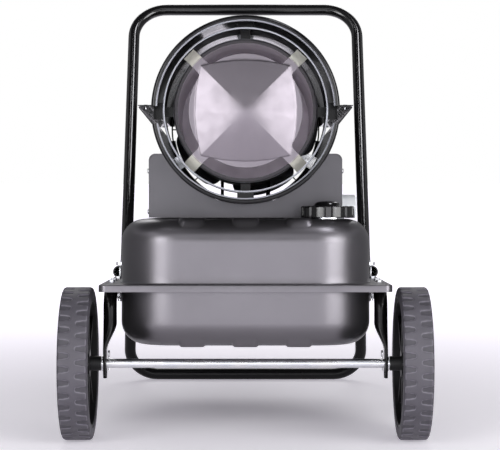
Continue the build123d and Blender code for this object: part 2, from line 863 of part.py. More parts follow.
def combustion_chamber():
    """The inner can: an inward lip in front, a stepped rear end round the burner."""
    wall = chamber_sheet
    inner, turn = chamber_r - wall, chamber_r - chamber_turn
    return turned([
        (chamber_lip_r, chamber_front), (inner, chamber_front), (chamber_r, chamber_front + wall),
        (chamber_r, chamber_back), (turn, chamber_back), (turn, chamber_back - wall),
        (inner, chamber_back - wall), (inner, chamber_front + wall), (chamber_lip_r, chamber_front + wall),
    ])


def chamber_brackets():
    """Four straps that carry the chamber inside the guide ring."""
    one = strap(chamber_r, guide_r - barrel_sheet, tie_w, strap_l)
    return [Pos(0, chamber_front + 2 * strap_l, barrel_z) * Rot(0, i * 90, 0) * one for i in range(4)]


def deflector_blank():
    """The flat disc and its four tabs at 45 degrees, with round corners where they meet."""
    sketch = Circle(disc_r)
    for i in range(4):
        sketch += Rot(0, 0, 45 + i * 90) * Pos(tab_flat_r / 2, 0) * Rectangle(tab_flat_r, tab_w)
    corners = [v for v in sketch.vertices() if abs(hypot(v.X, v.Y) - disc_r) < 1]
    return fillet(corners, tab_corner)


def pillow_outline(half, bulge, height):
    """A square whose sides bow out, at a height."""
    corners = [(half, half), (-half, half), (-half, -half), (half, -half)]
    middles = [(0, half + bulge), (-half - bulge, 0), (0, -half - bulge), (half + bulge, 0)]
    arcs = [ThreePointArc(corners[i], middles[i], corners[(i + 1) % 4]) for i in range(4)]
    return Pos(0, 0, height) * make_face(arcs)


def pillow(rise, inset):
    """The pressed cross: four bowed facets that meet in creases and end in a rounded top."""
    low = pillow_outline(pillow_half - inset, pillow_bulge, 0)
    high = pillow_outline(pillow_top_half - inset / 2, pillow_bulge / 4, rise)
    body = loft([low, high], ruled=True)
    return fillet(body.faces().sort_by(Axis.Z)[-1].edges(), pillow_crown_r)


def flame_deflector():
    disc = extrude(deflector_blank(), disc_sheet)
    shell = disc + pillow(pillow_h + disc_sheet, 0)
    shell -= pillow(pillow_h, disc_sheet * 1.3)
    slope = degrees(atan2(tab_drop, tab_end_r - tab_flat_r))
    length = hypot(tab_drop, tab_end_r - tab_flat_r)
    for i in range(4):
        tab = Pos(tab_flat_r, 0, disc_sheet) * Rot(0, slope, 0) * Pos(length / 2, 0, -disc_sheet / 2)
        shell += Rot(0, 0, 45 + i * 90) * tab * Box(length, tab_w, disc_sheet)
    return Pos(0, disc_y, barrel_z) * Rot(90, 0, 0) * shell


# ---- burner, motor, fan, pump


def burner_plate():
    """The plate that closes the chamber, with a ring of slanted air slots round the burner."""
    plate = Circle(chamber_r - chamber_sheet - seat_gap) - Circle(nozzle_r + hole_gap)
    slot = Pos(swirl_r, 0) * Rot(0, 0, swirl_angle) * SlotOverall(swirl_l, swirl_w)
    for i in range(swirl_count):
        plate -= Rot(0, 0, i * 360 / swirl_count) * slot
    for up in (igniter_up, -igniter_up):
        plate -= Pos(0, up) * Circle(igniter_r + hole_gap)
    return along_barrel(plate, plate_front, plate_back)


def nozzle_body():
    """The brass burner body, with its spray tip in front and a port at each side."""
    start = plate_front - nozzle_front
    body = along_barrel(Circle(nozzle_r), start, nozzle_y + nozzle_tail)
    body += along_barrel(Circle(tip_r), start - tip_l, start)
    body += along_barrel(Circle(nozzle_r + nozzle_flange), plate_back, plate_back + nozzle_flange_t)
    return body + Pos(0, nozzle_y, barrel_z) * Rot(0, 90, 0) * Cylinder(line_r + port_wall, 2 * port_l)


def plate_insert(up, start, end):
    """A round insert through the burner plate, with a flange behind it."""
    shape = along_barrel(Pos(0, up) * Circle(igniter_r), start, end)
    flange = Pos(0, up) * Circle(igniter_r + igniter_flange)
    return shape + along_barrel(flange, plate_back, plate_back + igniter_flange_t)


def igniter():
    """A porcelain igniter with its electrode, through the burner plate."""
    start = plate_front - igniter_front
    shape = plate_insert(igniter_up, start, nozzle_y + igniter_tail)
    return shape + along_barrel(Pos(0, igniter_up) * Circle(electrode_r), start - electrode_l, start)


def flame_sensor():
    return plate_insert(-igniter_up, plate_back - sensor_front, plate_back + sensor_tail)


def motor():
    """The motor: a finned body with a bell at each end."""
    low, high = motor_front + bell_l, motor_front + motor_l - bell_l
    body = along_barrel(Circle(motor_r), low, high)
    body = chamfer(body.edges().filter_by(GeomType.CIRCLE), motor_bevel)
    body += along_barrel(Circle(bell_r), motor_front, motor_front + motor_l)
    fin = Pos(motor_r, 0) * Rectangle(fin_h, fin_w)
    for i in range(fin_count):
        body += along_barrel(Rot(0, 0, i * 360 / fin_count) * fin, low + fin_inset, high - fin_inset)
    return body - along_barrel(Circle(shaft_r + fit_gap), motor_front, motor_front + motor_l)


def motor_bracket():
    """A ring round the motor's end with three legs out to the barrel's wall."""
    station = motor_front + bell_l - mount_t - mount_back
    wall = barrel_r - barrel_sheet - seat_gap
    angles = [90 + i * 360 / mount_legs for i in range(mount_legs)]
    ring = Circle(bell_r + mount_ring)
    for angle in angles:
        length = wall - mount_sag
        ring += Rot(0, 0, angle) * Pos(length / 2, 0) * Rectangle(length, mount_w)
    ring -= Circle(bell_r + seat_gap)
    bracket = along_barrel(ring, station, station + mount_t)
    for angle in angles:
        foot = Rot(0, 0, angle) * Pos(wall - mount_t, 0) * Rectangle(mount_t, mount_w)
        bracket += along_barrel(foot, station, station + mount_w)
    return bracket


def drive_shaft():
    return along_barrel(Circle(shaft_r), fan_front - shaft_nose, pump_front + shaft_tail)


def fan():
    """A pressed fan: five wide, pitched blades with round tips on a turned hub."""
    middle = fan_front + fan_hub_l / 2
    wide = 2 * fan_r * tan(radians(blade_span / 2))
    wedge = polygon_face([(0, 0), (2 * fan_r, -wide), (2 * fan_r, wide)])
    blade = (Circle(fan_r) - Circle(fan_hub_r - blade_root)) & wedge
    tips = blade.vertices().sort_by_distance((0, 0, 0))[-2:]
    blade = Pos(0, 0, -blade_t / 2) * extrude(fillet(tips, blade_corner), blade_t)
    wheel = Cylinder(fan_hub_r, fan_hub_l)
    for i in range(fan_blades):
        wheel += Rot(0, 0, i * 360 / fan_blades) * Rot(blade_angle, 0, 0) * blade
    wheel -= Cylinder(shaft_r, 3 * fan_hub_l)
    return Pos(0, middle, barrel_z) * Rot(90, 0, 0) * wheel


def pump_body():
    """The pump's ring: an offset round cavity that the rotor's vanes sweep, and an outlet port."""
    end = pump_front + pump_l
    cavity = Pos(0, cavity_off) * Circle(cavity_r)
    body = along_barrel(Circle(pump_r), pump_front, end)
    body -= along_barrel(cavity, end - cavity_l - 2 * rotor_play, end)
    body -= along_barrel(Circle(shaft_r + fit_gap), pump_front, end)
    port = Pos(air_x, pump_port_y, barrel_z - pump_port_drop) * Cylinder(line_r + line_clear, pump_port_l)
    neck_z = barrel_z - pump_port_drop + pump_neck_h
    neck = Box(pump_neck_l, pump_neck_w, pump_neck_h)
    neck = Pos(air_x - pump_neck_l / 2, pump_port_y, neck_z) * neck
    return body + (port + neck - along_barrel(cavity, pump_front, end))


def pump_rotor():
    """The carbon rotor on the shaft, with four vanes standing out of their slots."""
    start = pump_front + pump_l - cavity_l - rotor_play
    reach = cavity_r - cavity_off - vane_gap
    rotor = Circle(rotor_r)
    for i in range(vane_count):
        rotor += Rot(0, 0, 45 + i * 360 / vane_count) * Pos(reach / 2, 0) * Rectangle(reach, vane_t)
    return along_barrel(rotor - Circle(shaft_r), start, start + cavity_l - rotor_play)


def pump_cover():
    """The rear cover with its round filter housing and the boss of the pressure screw."""
    cover = along_barrel(Circle(pump_r), pump_back, pump_back + cover_plate_l)
    cover = chamfer(cover.edges().filter_by(GeomType.CIRCLE), cover_bevel)
    filter_cup = Pos(filter_x, filter_up) * Circle(filter_r)
    boss = Pos(boss_screw_x, boss_screw_up) * Circle(boss_screw_r)
    cover += along_barrel(filter_cup, pump_back + cover_bevel, pump_back + filter_l)
    return cover + along_barrel(boss, pump_back + cover_bevel, pump_back + boss_screw_l)


def pressure_gauge():
    """A small dial on the pump's rear cover."""
    foot = pump_back + cover_plate_l
    low, high = foot + gauge_stem_l, foot + gauge_stem_l + gauge_l
    at = Pos(gauge_x, gauge_up)
    gauge = along_barrel(at * Circle(gauge_r), low, high)
    gauge -= along_barrel(at * Circle(gauge_r - gauge_rim), high - gauge_rim / 2, high)
    return gauge + along_barrel(at * Circle(gauge_stem_r), foot, low)


def air_line():
    """The hose from the pump down through the box and up to the burner."""
    low = barrel_z - barrel_r - line_drop
    outlet = barrel_z - pump_port_drop - pump_port_l / 2
    points = [
        (air_x, pump_port_y, outlet), (air_x, pump_port_y, low), (air_x, nozzle_y, low),
        (air_x, nozzle_y, barrel_z), (port_l, nozzle_y, barrel_z),
    ]
    return rod(points, [line_turn, line_turn, line_bend], line_r)


def fuel_line():
    foot = tank_top + pickup_top
    points = [(fuel_x, nozzle_y, foot), (fuel_x, nozzle_y, barrel_z), (-port_l, nozzle_y, barrel_z)]
    return rod(points, [line_bend], line_r)


def fuel_pickup():
    """The dip tube with its grommet in the tank's top and a filter at its foot."""
    low, high = pickup_foot - tank_bottom, tank_top + pickup_top
    pipe = Pos(0, 0, (low + high) / 2) * Cylinder(line_r, high - low)
    grommet = Pos(0, 0, tank_top + grommet_h / 2) * Cylinder(grommet_r, grommet_h)
    bulb = Pos(0, 0, low - bulb_drop + bulb_l / 2) * Cylinder(bulb_r, bulb_l)
    bulb = chamfer(bulb.edges().filter_by(GeomType.CIRCLE), bulb_bevel)
    return Pos(fuel_x, nozzle_y, 0) * (pipe + grommet + bulb)


def guard():
    """The wire guard over the intake: domed rings, straight spokes and a rim wire."""
    half = guard_wire / 2
    rim_r = barrel_r - bead_r - half
    radii = [rim_r * (i + 1) / (guard_ring_count + 1) for i in range(guard_ring_count + 1)]
    places = [(radius, guard_dome * (1 - (radius / rim_r) ** 2)) for radius in radii]
    rings = []
    for r, y in places:
        section = [(r, y - half), (r + half, y), (r, y + half), (r - half, y)]
        rings.append(revolve(polygon_face(section), Axis.Y))
    cage = rings[0].fuse(*rings[1:])
    wire = Rectangle(guard_wire * 0.8, guard_wire * 0.8)
    for (r0, y0), (r1, y1) in zip(places, places[1:]):
        start = Plane(origin=(r0, y0, 0), z_dir=(r1 - r0, y1 - y0, 0))
        bar = extrude(start * wire, hypot(r1 - r0, y1 - y0))
        for i in range(guard_spokes):
            cage += Rot(0, i * 360 / guard_spokes, 0) * bar
    return Pos(0, barrel_back + half + slide_gap, barrel_z) * cage


# ---- control box


def saddle(front):
    """An end panel of the box: round top corners, a round cut for the barrel, edges turned in."""
    outline = Pos(0, box_h / 2) * Rectangle(2 * box_half_w, box_h)
    outline = fillet(outline.vertices().group_by(Axis.Y)[-1], box_corner)
    sheet_in = Pos(0, box_h / 2) * Rectangle(2 * (box_half_w - box_sheet), box_h - 2 * box_sheet)
    sheet_in = fillet(sheet_in.vertices().group_by(Axis.Y)[-1], box_corner - box_sheet)
    cut = Pos(0, barrel_z - box_floor) * Circle(barrel_r + seat_gap)
    panel = extrude(outline - cut, box_sheet)
    edge = Pos(0, 0, -box_flange) * extrude(outline - sheet_in - cut, box_flange)
    part = panel + edge
    if front:
        return Pos(0, box_front + box_sheet, box_floor) * Rot(90, 0, 0) * part
    return Pos(0, box_back - box_sheet, box_floor) * Rot(90, 0, 0) * mirror(part, Plane.XY)


def side_cover(side):
    """A side cover: a wall with a rounded top edge that turns in to the barrel."""
    reach = wall_x(barrel_z - box_top, barrel_r) + cover_lap
    low, high = box_h + slide_gap, box_h + slide_gap + box_sheet
    sketch = polygon_face([
        (cover_x, 0), (cover_face_x, 0), (cover_face_x, high), (reach, high), (reach, low), (cover_x, low),
    ])
    far = sketch.vertices().sort_by_distance((cover_face_x, high, 0))[0]
    sketch = fillet(far, box_corner)
    near = sketch.vertices().sort_by_distance((cover_x, low, 0))[0]
    sketch = fillet(near, box_corner - box_sheet)
    start, end = box_front + cover_gap, box_back - cover_gap
    cover = Pos(0, end, box_floor) * Rot(90, 0, 0) * extrude(sketch, end - start)
    if side > 0:
        bore = Cylinder(spindle_r + 5 * hole_gap, 8 * box_sheet)
        cover -= facing_x(cover_x, knob_y, box_floor + knob_up, bore)
        window = Box(8 * box_sheet, switch_w + hole_gap, switch_h + hole_gap)
        cover -= Pos(cover_x, switch_y, box_floor + switch_up) * window
    else:
        cover = mirror(cover, Plane.YZ)
    for y, z in cover_screw_places():
        cover -= facing_x(side * cover_x, y, z, Cylinder(small_r + hole_gap, 8 * box_sheet))
    return cover


def cover_screw_places():
    rows = (box_front + cover_screw_inset, box_back - cover_screw_inset)
    return [(y, box_floor + up) for y in rows for up in (cover_screw_low, cover_screw_high)]


def cover_screws():
    one = screw(small_head_r, small_head_h, small_r, cover_screw_l)
    right = [facing_x(cover_face_x, y, z, one) for y, z in cover_screw_places()]
    return right + [mirror(shape, Plane.YZ) for shape in right]


def drilled_saddle(front):
    panel = saddle(front)
    for side in (-1, 1):
        for y, z in cover_screw_places():
            panel -= facing_x(side * box_half_w, y, z, Cylinder(small_r + hole_gap, 8 * box_sheet))
    if not front:
        bore = Rot(90, 0, 0) * Cylinder(gland_r - gland_neck_wall + 2 * hole_gap, 8 * box_sheet)
        panel -= Pos(gland_x, box_back, box_floor + gland_up) * bore
    return panel


def base_tray():
    """The tray that carries the electrical parts, on the tank's ribs."""
    start, end = box_front + box_flange + tray_gap, box_back - box_flange - tray_gap
    tray = Box(2 * (box_half_w - tray_side), end - start, box_sheet)
    tray = Pos(0, (start + end) / 2, box_floor + box_sheet / 2) * tray
    return drill(tray, [(fuel_x, nozzle_y, box_floor)], tray_hole_r)


def control_board():
    """A board on four stand-offs, with a row of square components along it."""
    board = Pos(0, 0, board_up) * Box(board_w, board_l, board_t)
    for i in range(chip_count):
        side = 1 if i % 2 else -1
        size, height = chip_w * (1 + 0.2 * side), chip_h * (1 - 0.2 * side)
        along = board_l * 0.8 * ((i + 0.5) / chip_count - 0.5)
        chip = Box(size, size, height)
        board += Pos(side * board_w / 5, along, board_up + (board_t + height) / 2) * chip
    x, y = board_w / 2 - board_stand_inset, board_l / 2 - board_stand_inset
    stand_off = Cylinder(board_stand_r, board_up - box_sheet)
    for side in (-1, 1):
        for end in (-1, 1):
            board += Pos(side * x, end * y, (box_sheet + board_up) / 2) * stand_off
    middle_x = -(box_half_w - board_inset - board_w / 2)
    return Pos(middle_x, box_front + board_start + board_l / 2, box_floor) * board


def ignition_transformer():
    """A potted block on the tray, with its terminal on top."""
    block = Pos(0, 0, transformer_h / 2) * Box(transformer_w, transformer_l, transformer_h)
    block = fillet(block.edges().filter_by(Axis.Z), transformer_corner)
    block += Pos(terminal_x, 0, transformer_h + terminal_l / 2) * Cylinder(terminal_r, terminal_l)
    x = box_half_w - transformer_inset - transformer_w / 2
    y = box_back - transformer_end - transformer_l / 2
    return Pos(x, y, box_floor + box_sheet) * block


def thermostat():
    z = box_floor + knob_up
    body = facing_x(cover_x - thermostat_l / 2, knob_y, z, Cylinder(thermostat_r, thermostat_l))
    spindle = Cylinder(spindle_r, spindle_l)
    return body + facing_x(box_half_w - spindle_root + spindle_l / 2, knob_y, z, spindle)


def thermostat_knob():
    """A pale turned knob with a stepped ring, a pointer rib and a bore for its spindle."""
    disc = extrude(Circle(knob_r), knob_l)
    disc = chamfer(disc.edges().group_by(Axis.Z)[-1], knob_bevel)
    rib = Rectangle(2 * (knob_r - knob_rib_inset), knob_rib_w)
    disc += Pos(0, 0, knob_l) * extrude(rib, knob_rib_h)
    groove = Circle(knob_r + knob_groove_d) - Circle(knob_r - knob_groove_d)
    disc -= Pos(0, 0, knob_grip_h) * extrude(groove, knob_groove_w)
    disc -= Cylinder(spindle_r + fit_gap, 2 * (knob_l + knob_rib_h))
    return facing_x(cover_face_x + knob_stand, knob_y, box_floor + knob_up, disc)


def power_switch():
    """The switch's frame in the side cover, open in the middle for the rocker."""
    bezel = Pos(bezel_t / 2, 0, 0) * Box(bezel_t, switch_w + 2 * bezel_w, switch_h + 2 * bezel_w)
    well = Pos((bezel_t - well_l) / 2, 0, 0) * Box(well_l, switch_w, switch_h)
    room = Box(room_l, switch_w - 2 * well_wall, switch_h - 2 * well_wall)
    body = bezel + well - Pos(2 * bezel_t - room_l / 2, 0, 0) * room
    body -= Pos(-rocker_depth, 0, 0) * Cylinder(rocker_pin_r + fit_gap, switch_h - well_wall + hole_gap)
    return Pos(cover_face_x, switch_y, box_floor + switch_up) * body


def power_rocker():
    """The rocker: its face is a shallow V, so one end is always down."""
    half = switch_w / 2 - well_wall - rocker_side
    deep, rise = rocker_depth, half * sin(radians(rocker_tilt))
    outline = polygon_face([
        (-deep, 0), (-0.75 * deep, rocker_side - half), (deep + rise, -half),
        (0.9 * deep, 0), (deep + rise, half), (-0.75 * deep, half - rocker_side),
    ])
    height = switch_h - 2 * well_wall - 2 * knob_stand
    key = Rot(0, 0, -rocker_tilt) * Pos(0, 0, -height / 2) * extrude(outline, height)
    key += Cylinder(rocker_pin_r, switch_h - well_wall)
    return Pos(cover_face_x - rocker_depth, switch_y, box_floor + switch_up) * key


def cord_gland():
    """The gland in the rear panel: a round head outside and a thinner neck through the hole."""
    head = Pos(0, 0, gland_head_l / 2) * Cylinder(gland_r, gland_head_l)
    neck = Pos(0, 0, -gland_neck_l / 2) * Cylinder(gland_r - gland_neck_wall, gland_neck_l)
    body = head + neck - Cylinder(gland_bore, 4 * gland_neck_l)
    return Pos(gland_x, box_back, box_floor + gland_up) * Rot(-90, 0, 0) * body


# ---- the whole heater


def pieces():
    """Every node's solids, in the tank's frame."""
    upper = drill(tank_upper_shell(), [(fuel_x, nozzle_y, tank_top)], line_r + hole_gap, 20)
    return {
        "tank_upper_shell": upper,
        "tank_lower_shell": tank_lower_shell(),
        "drain_plug": drain_plug(),
        "filler_neck": filler_neck(),
        "filler_strainer": filler_strainer(),
        "fuel_cap": fuel_cap(),
        "cap_seal": cap_seal(),
        "lower_frame": lower_frame(),
        "handle_frame": handle_frame(),
        "frame_bolts": frame_bolts(),
        "frame_nuts": frame_nuts(),
        "flange_screws": flange_screws(),
        "axle": axle(),
        "split_pins": split_pins(),
        "wheel_washers": wheel_washers(),
        "tyre_left": tyre(-1),
        "tyre_right": tyre(1),
        "wheel_rim_left": wheel_rim(-1),
        "wheel_rim_right": wheel_rim(1),
        "barrel_upper_shell": barrel_upper_shell(),
        "barrel_lower_shell": barrel_lower_shell(),
        "seam_screws": seam_screws_group(),
        "air_guide": air_guide(),
        "guide_brackets": guide_brackets(),
        "combustion_chamber": combustion_chamber(),
        "chamber_brackets": chamber_brackets(),
        "flame_deflector": flame_deflector(),
        "burner_plate": burner_plate(),
        "nozzle_body": nozzle_body(),
        "igniter": igniter(),
        "flame_sensor": flame_sensor(),
        "motor": motor(),
        "motor_bracket": motor_bracket(),
        "drive_shaft": drive_shaft(),
        "fan": fan(),
        "pump_body": pump_body(),
        "pump_rotor": pump_rotor(),
        "pump_cover": pump_cover(),
        "pressure_gauge": pressure_gauge(),
        "air_line": air_line(),
        "fuel_line": fuel_line(),
        "fuel_pickup": fuel_pickup(),
        "intake_guard": guard(),
        "front_panel": drilled_saddle(True),
        "rear_panel": drilled_saddle(False),
        "side_cover_left": side_cover(-1),
        "side_cover_right": side_cover(1),
        "cover_screws": cover_screws(),
        "base_tray": base_tray(),
        "control_board": control_board(),
        "ignition_transformer": ignition_transformer(),
        "thermostat": thermostat(),
        "thermostat_knob": thermostat_knob(),
        "power_switch": power_switch(),
        "power_rocker": power_rocker(),
        "cord_gland": cord_gland(),
    }


def stand():
    """From the tank's frame to the floor: nose up by the tilt, wheels and foot bar on z = 0."""
    return Pos(0, row_shift, wheel_r) * Rot(-tilt, 0, 0) * Pos(0, 0, -axle_z)


def main():
    os.makedirs("parts", exist_ok=True)
    place = stand()
    for name, shape in pieces().items():
        solids = shape if isinstance(shape, list) else shape.solids()
        placed = [place * solid for solid in solids]
        export_step(placed[0] if len(placed) == 1 else Compound(children=placed), f"parts/{name}.step")


if __name__ == "__main__":
    main()
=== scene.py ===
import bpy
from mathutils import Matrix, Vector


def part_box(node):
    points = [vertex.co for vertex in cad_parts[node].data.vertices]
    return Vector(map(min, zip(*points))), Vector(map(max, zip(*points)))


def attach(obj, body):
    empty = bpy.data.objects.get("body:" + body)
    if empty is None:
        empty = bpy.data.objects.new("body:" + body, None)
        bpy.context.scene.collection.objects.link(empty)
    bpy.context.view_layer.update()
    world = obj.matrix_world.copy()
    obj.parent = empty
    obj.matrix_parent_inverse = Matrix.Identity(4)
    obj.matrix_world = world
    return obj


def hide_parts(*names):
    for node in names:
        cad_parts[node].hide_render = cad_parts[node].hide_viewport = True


bl_info = {
    "name": "Forced Air Heater",
    "version": (1, 0, 0),
    "blender": (4, 5, 0),
    "location": "3D Viewport > Sidebar > Heater",
    "description": "Builds the skins, finishes and studio of a wheeled forced air heater",
    "category": "Add Mesh",
}

import math

import bpy
import numpy as np
from bpy.props import FloatProperty, FloatVectorProperty, IntProperty, PointerProperty
from mathutils import Vector

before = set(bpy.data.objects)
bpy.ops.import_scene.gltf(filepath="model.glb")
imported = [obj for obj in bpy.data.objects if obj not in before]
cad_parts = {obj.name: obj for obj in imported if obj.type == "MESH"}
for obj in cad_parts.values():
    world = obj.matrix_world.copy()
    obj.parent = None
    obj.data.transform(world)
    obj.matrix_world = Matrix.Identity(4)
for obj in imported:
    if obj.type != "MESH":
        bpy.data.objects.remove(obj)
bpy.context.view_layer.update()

# The heater is laid out in its tank's frame: x right, y rearward, z up, the origin on the middle
# plane above the axle, at the top face of the tank's flange. The row frame stands it on the floor.
TILT = math.radians(3.38644)
ROW_SHIFT = -0.3016927
AXLE_Z = -0.132
BARREL_Z = 0.279
RAIL_X = 0.222
SHEET = 0.0015
BARREL_AXIS = (0.0, math.cos(TILT), -math.sin(TILT))
AXLE_DIRECTION = (1.0, 0.0, 0.0)
AXLE_HEIGHT = 0.125

# Waves of the slow drift of tone in a metre, and the number of points along a studio card.
TONE_SCALE = 9.0
CARD_POINTS = 24


def length(name, text, value):
    return FloatProperty(name=name, description=text, default=value, unit="LENGTH", precision=4)


def colour(name, text, value):
    return FloatVectorProperty(
        name=name, description=text, default=value, subtype="COLOR", size=3, min=0.0, max=1.0
    )


class HeaterTank(bpy.types.PropertyGroup):
    half_width: length("Half width", "Middle plane to the tank's side wall", 0.204)
    front: length("Front", "Station of the tank's front wall", -0.078)
    back: length("Back", "Station of the tank's rear wall", 0.562)
    top: length("Top", "Height of the upper half above the flange", 0.105)
    bottom: length("Bottom", "Depth of the lower half below the flange", 0.100)
    corner: length("Plan corner", "Corner radius seen from above", 0.090)
    edge: length("Edge", "Rounding of the top and bottom edges", 0.038)
    flange_side: length("Flange at the sides", "Reach of the flange past the side walls", 0.031)
    flange_front: length("Flange in front", "Reach of the flange past the front wall", 0.010)
    flange_back: length("Flange behind", "Reach of the flange past the rear wall", 0.013)
    flange_corner: length("Flange corner", "Corner radius of the flange", 0.012)
    lip: length("Lip", "Height of the lip that turns down round the flange", 0.0115)
    pad_half: length("Pad half width", "Half the width of a stamped pad", 0.020)
    pad_rise: length("Pad rise", "Height of the pads above the sheet", 0.0018)
    pad_pitch: length("Pad pitch", "Distance between the stamped pads", 0.086)
    pad_inset: length("Pad inset", "Pad's end to the tank's end wall", 0.011)
    paint: colour("Paint", "Satin grey of the tank", (0.150, 0.143, 0.156))


class HeaterFrame(bpy.types.PropertyGroup):
    tube_radius: length("Tube radius", "Outer radius of the frame's tubes", 0.011)
    tube_wall: length("Tube wall", "Wall of the frame's tubes", 0.0018)
    paint: colour("Paint", "Gloss black of the tubes", (0.0055, 0.0052, 0.0058))


class HeaterWheels(bpy.types.PropertyGroup):
    radius: length("Radius", "Outer radius of the tyre", 0.125)
    bore: length("Bore", "Inner radius of the tyre", 0.106)
    half_width: length("Half width", "Half the width of the tyre", 0.024)
    middle: length("Middle", "Middle plane to the tyre's middle", 0.274)
    shoulder: length("Shoulder", "Rounding of the tyre's edges", 0.005)
    pockets: IntProperty(name="Pockets", description="Tread pockets in one row", default=36, min=8, max=60)
    pocket_length: length("Pocket length", "Length of a tread pocket", 0.020)
    pocket_depth: length("Pocket depth", "Depth of a tread pocket", 0.0016)
    rubber: colour("Rubber", "Grey of the tyres", (0.098, 0.091, 0.112))


class HeaterBarrel(bpy.types.PropertyGroup):
    radius: length("Radius", "Outer radius of the barrel", 0.150)
    front: length("Front", "Station of the front edge", -0.100)
    back: length("Back", "Station of the rear edge", 0.640)
    bead: length("Bead", "Radius of the rolled edges", 0.0040)
    seam_out: length("Seam reach", "Reach of the folded side seams", 0.021)
    seam_top: length("Seam height", "Upper fold above the barrel's axis", 0.006)
    seam_low: length("Seam drop", "Root of the lower fold below the axis", 0.023)
    paint: colour("Paint", "Gloss black of the barrel", (0.0048, 0.0046, 0.0056))


class HeaterMouth(bpy.types.PropertyGroup):
    guide_radius: length("Guide radius", "Outer radius of the air guide", 0.132)
    guide_front: length("Guide front", "Station of the guide's front edge", -0.086)
    guide_back: length("Guide back", "Station of the guide's rear edge", 0.030)
    chamber_radius: length("Chamber radius", "Outer radius of the chamber", 0.116)
    chamber_front: length("Chamber front", "Station of the chamber's lip", -0.058)
    chamber_back: length("Chamber back", "Station of the chamber's rear edge", 0.310)
    lip_radius: length("Lip radius", "Opening in the chamber's lip", 0.109)
    enamel: colour("Enamel", "Blue black of the guide", (0.0045, 0.0060, 0.0105))


class HeaterDeflector(bpy.types.PropertyGroup):
    disc: length("Disc", "Radius of the flat disc", 0.092)
    station: length("Station", "Rear face of the disc", -0.062)
    pillow: length("Pillow", "Half the side of the pressed cross", 0.071)
    bulge: length("Bulge", "How far the cross's sides bow out", 0.009)
    rise: length("Rise", "Height of the pressed cross", 0.018)
    tab_half: length("Tab half width", "Half the width of a tab", 0.011)
    tab_fold: length("Tab fold", "Radius at which the tabs fold back", 0.110)
    tab_end: length("Tab end", "Radius of the tabs' ends", 0.129)
    tab_drop: length("Tab drop", "How far the tabs' ends lie back", 0.012)
    steel: colour("Steel", "Heat resisting steel", (0.190, 0.173, 0.193))


class HeaterCap(bpy.types.PropertyGroup):
    radius: length("Radius", "Radius over the lobes", 0.0435)
    skirt: length("Skirt", "Height of the skirt", 0.0185)
    dome_radius: length("Dome radius", "Radius of the dome", 0.022)
    dome_height: length("Dome height", "Height of the dome", 0.009)
    lobes: IntProperty(name="Lobes", description="Finger lobes round the cap", default=10, min=4, max=24)
    scoop: length("Scoop", "Depth of the scoops between the lobes", 0.0026)
    plastic: colour("Plastic", "Black of the cap", (0.0075, 0.0070, 0.0078))


class HeaterStage(bpy.types.PropertyGroup):
    distance: length("Distance", "Camera to the axle's plane", 3.0)
    height: length("Height", "Camera above the floor", 0.554)
    pitch: FloatProperty(
        name="Pitch", description="Camera's tilt below the horizon", default=math.radians(
            3.845
        ), subtype="ANGLE"
    )
    lens: FloatProperty(
        name="Lens", description="Focal length in millimetres", default=132.6, unit="CAMERA"
    )
    shift: FloatProperty(name="Shift", description="Sideways shift of the lens", default=0.009)
    floor: colour("Floor", "Pale studio floor", (0.90, 0.885, 0.905))


class HeaterSettings(bpy.types.PropertyGroup):
    tank: PointerProperty(type=HeaterTank)
    frames: PointerProperty(type=HeaterFrame)
    wheels: PointerProperty(type=HeaterWheels)
    barrel: PointerProperty(type=HeaterBarrel)
    mouth: PointerProperty(type=HeaterMouth)
    deflector: PointerProperty(type=HeaterDeflector)
    cap: PointerProperty(type=HeaterCap)
    stage: PointerProperty(type=HeaterStage)


# ---- surfaces


def to_row(points):
    """Tank's frame to row frame: a turn about x by the tilt through the axle, then the axle's place."""
    y, z = points[..., 1], points[..., 2] - AXLE_Z
    across = ROW_SHIFT + y * math.cos(TILT) + z * math.sin(TILT)
    up = AXLE_HEIGHT - y * math.sin(TILT) + z * math.cos(TILT)
    return np.stack([points[..., 0], across, up], axis=-1)


def smooth_step(low, high, value):
    """Cubic ease: 0 below low, 1 above high, 3t^2 - 2t^3 between."""
    t = np.clip((value - low) / (high - low), 0.0, 1.0)
    return t * t * (3.0 - 2.0 * t)


def quarter(count):
    """Angles over a quarter turn."""
    return np.linspace(0, math.pi / 2, count)


def circle(count):
    """Angles once round, the first one not repeated."""
    return np.linspace(0, 2 * math.pi, count, endpoint=False)


def tangents(path):
    """Unit directions along a path."""
    along = np.gradient(path, axis=0)
    return along / np.linalg.norm(along, axis=1)[:, None]


def normals(curve):
    """Unit directions to the left of a flat curve."""
    along = tangents(curve)
    return np.column_stack([-along[:, 1], along[:, 0]])


def capped(rows):
    """Rings in a row, both ends drawn together on their middles."""
    ends = np.broadcast_to(rows.mean(1)[:, None], rows.shape)
    return np.concatenate([ends[:1], rows, ends[-1:]]), False, True


def grid_faces(rows, columns, wrap_rows, wrap_columns):
    """Quads of a grid: corner (i, j) joins (i+1, j), (i+1, j+1) and (i, j+1), wrapped where asked."""
    i = np.arange(rows if wrap_rows else rows - 1)[:, None]
    j = np.arange(columns if wrap_columns else columns - 1)[None, :]
    k, m = (i + 1) % rows, (j + 1) % columns
    quads = np.stack([i * columns + j, k * columns + j, k * columns + m, i * columns + m], axis=-1)
    return quads.reshape(-1, 4)


def outward(points, quads):
    """Turns the quads over if the volume they enclose, a sum of corner products, comes out negative."""
    a, b, c, d = (points[quads[:, n]] for n in range(4))
    volume = np.einsum("ij,ij->i", a, np.cross(b, c)).sum() + np.einsum("ij,ij->i", a, np.cross(c, d)).sum()
    return quads[:, ::-1] if volume < 0 else quads


def add_object(name, data):
    made = bpy.data.objects.new(name, data)
    bpy.context.scene.collection.objects.link(made)
    return made


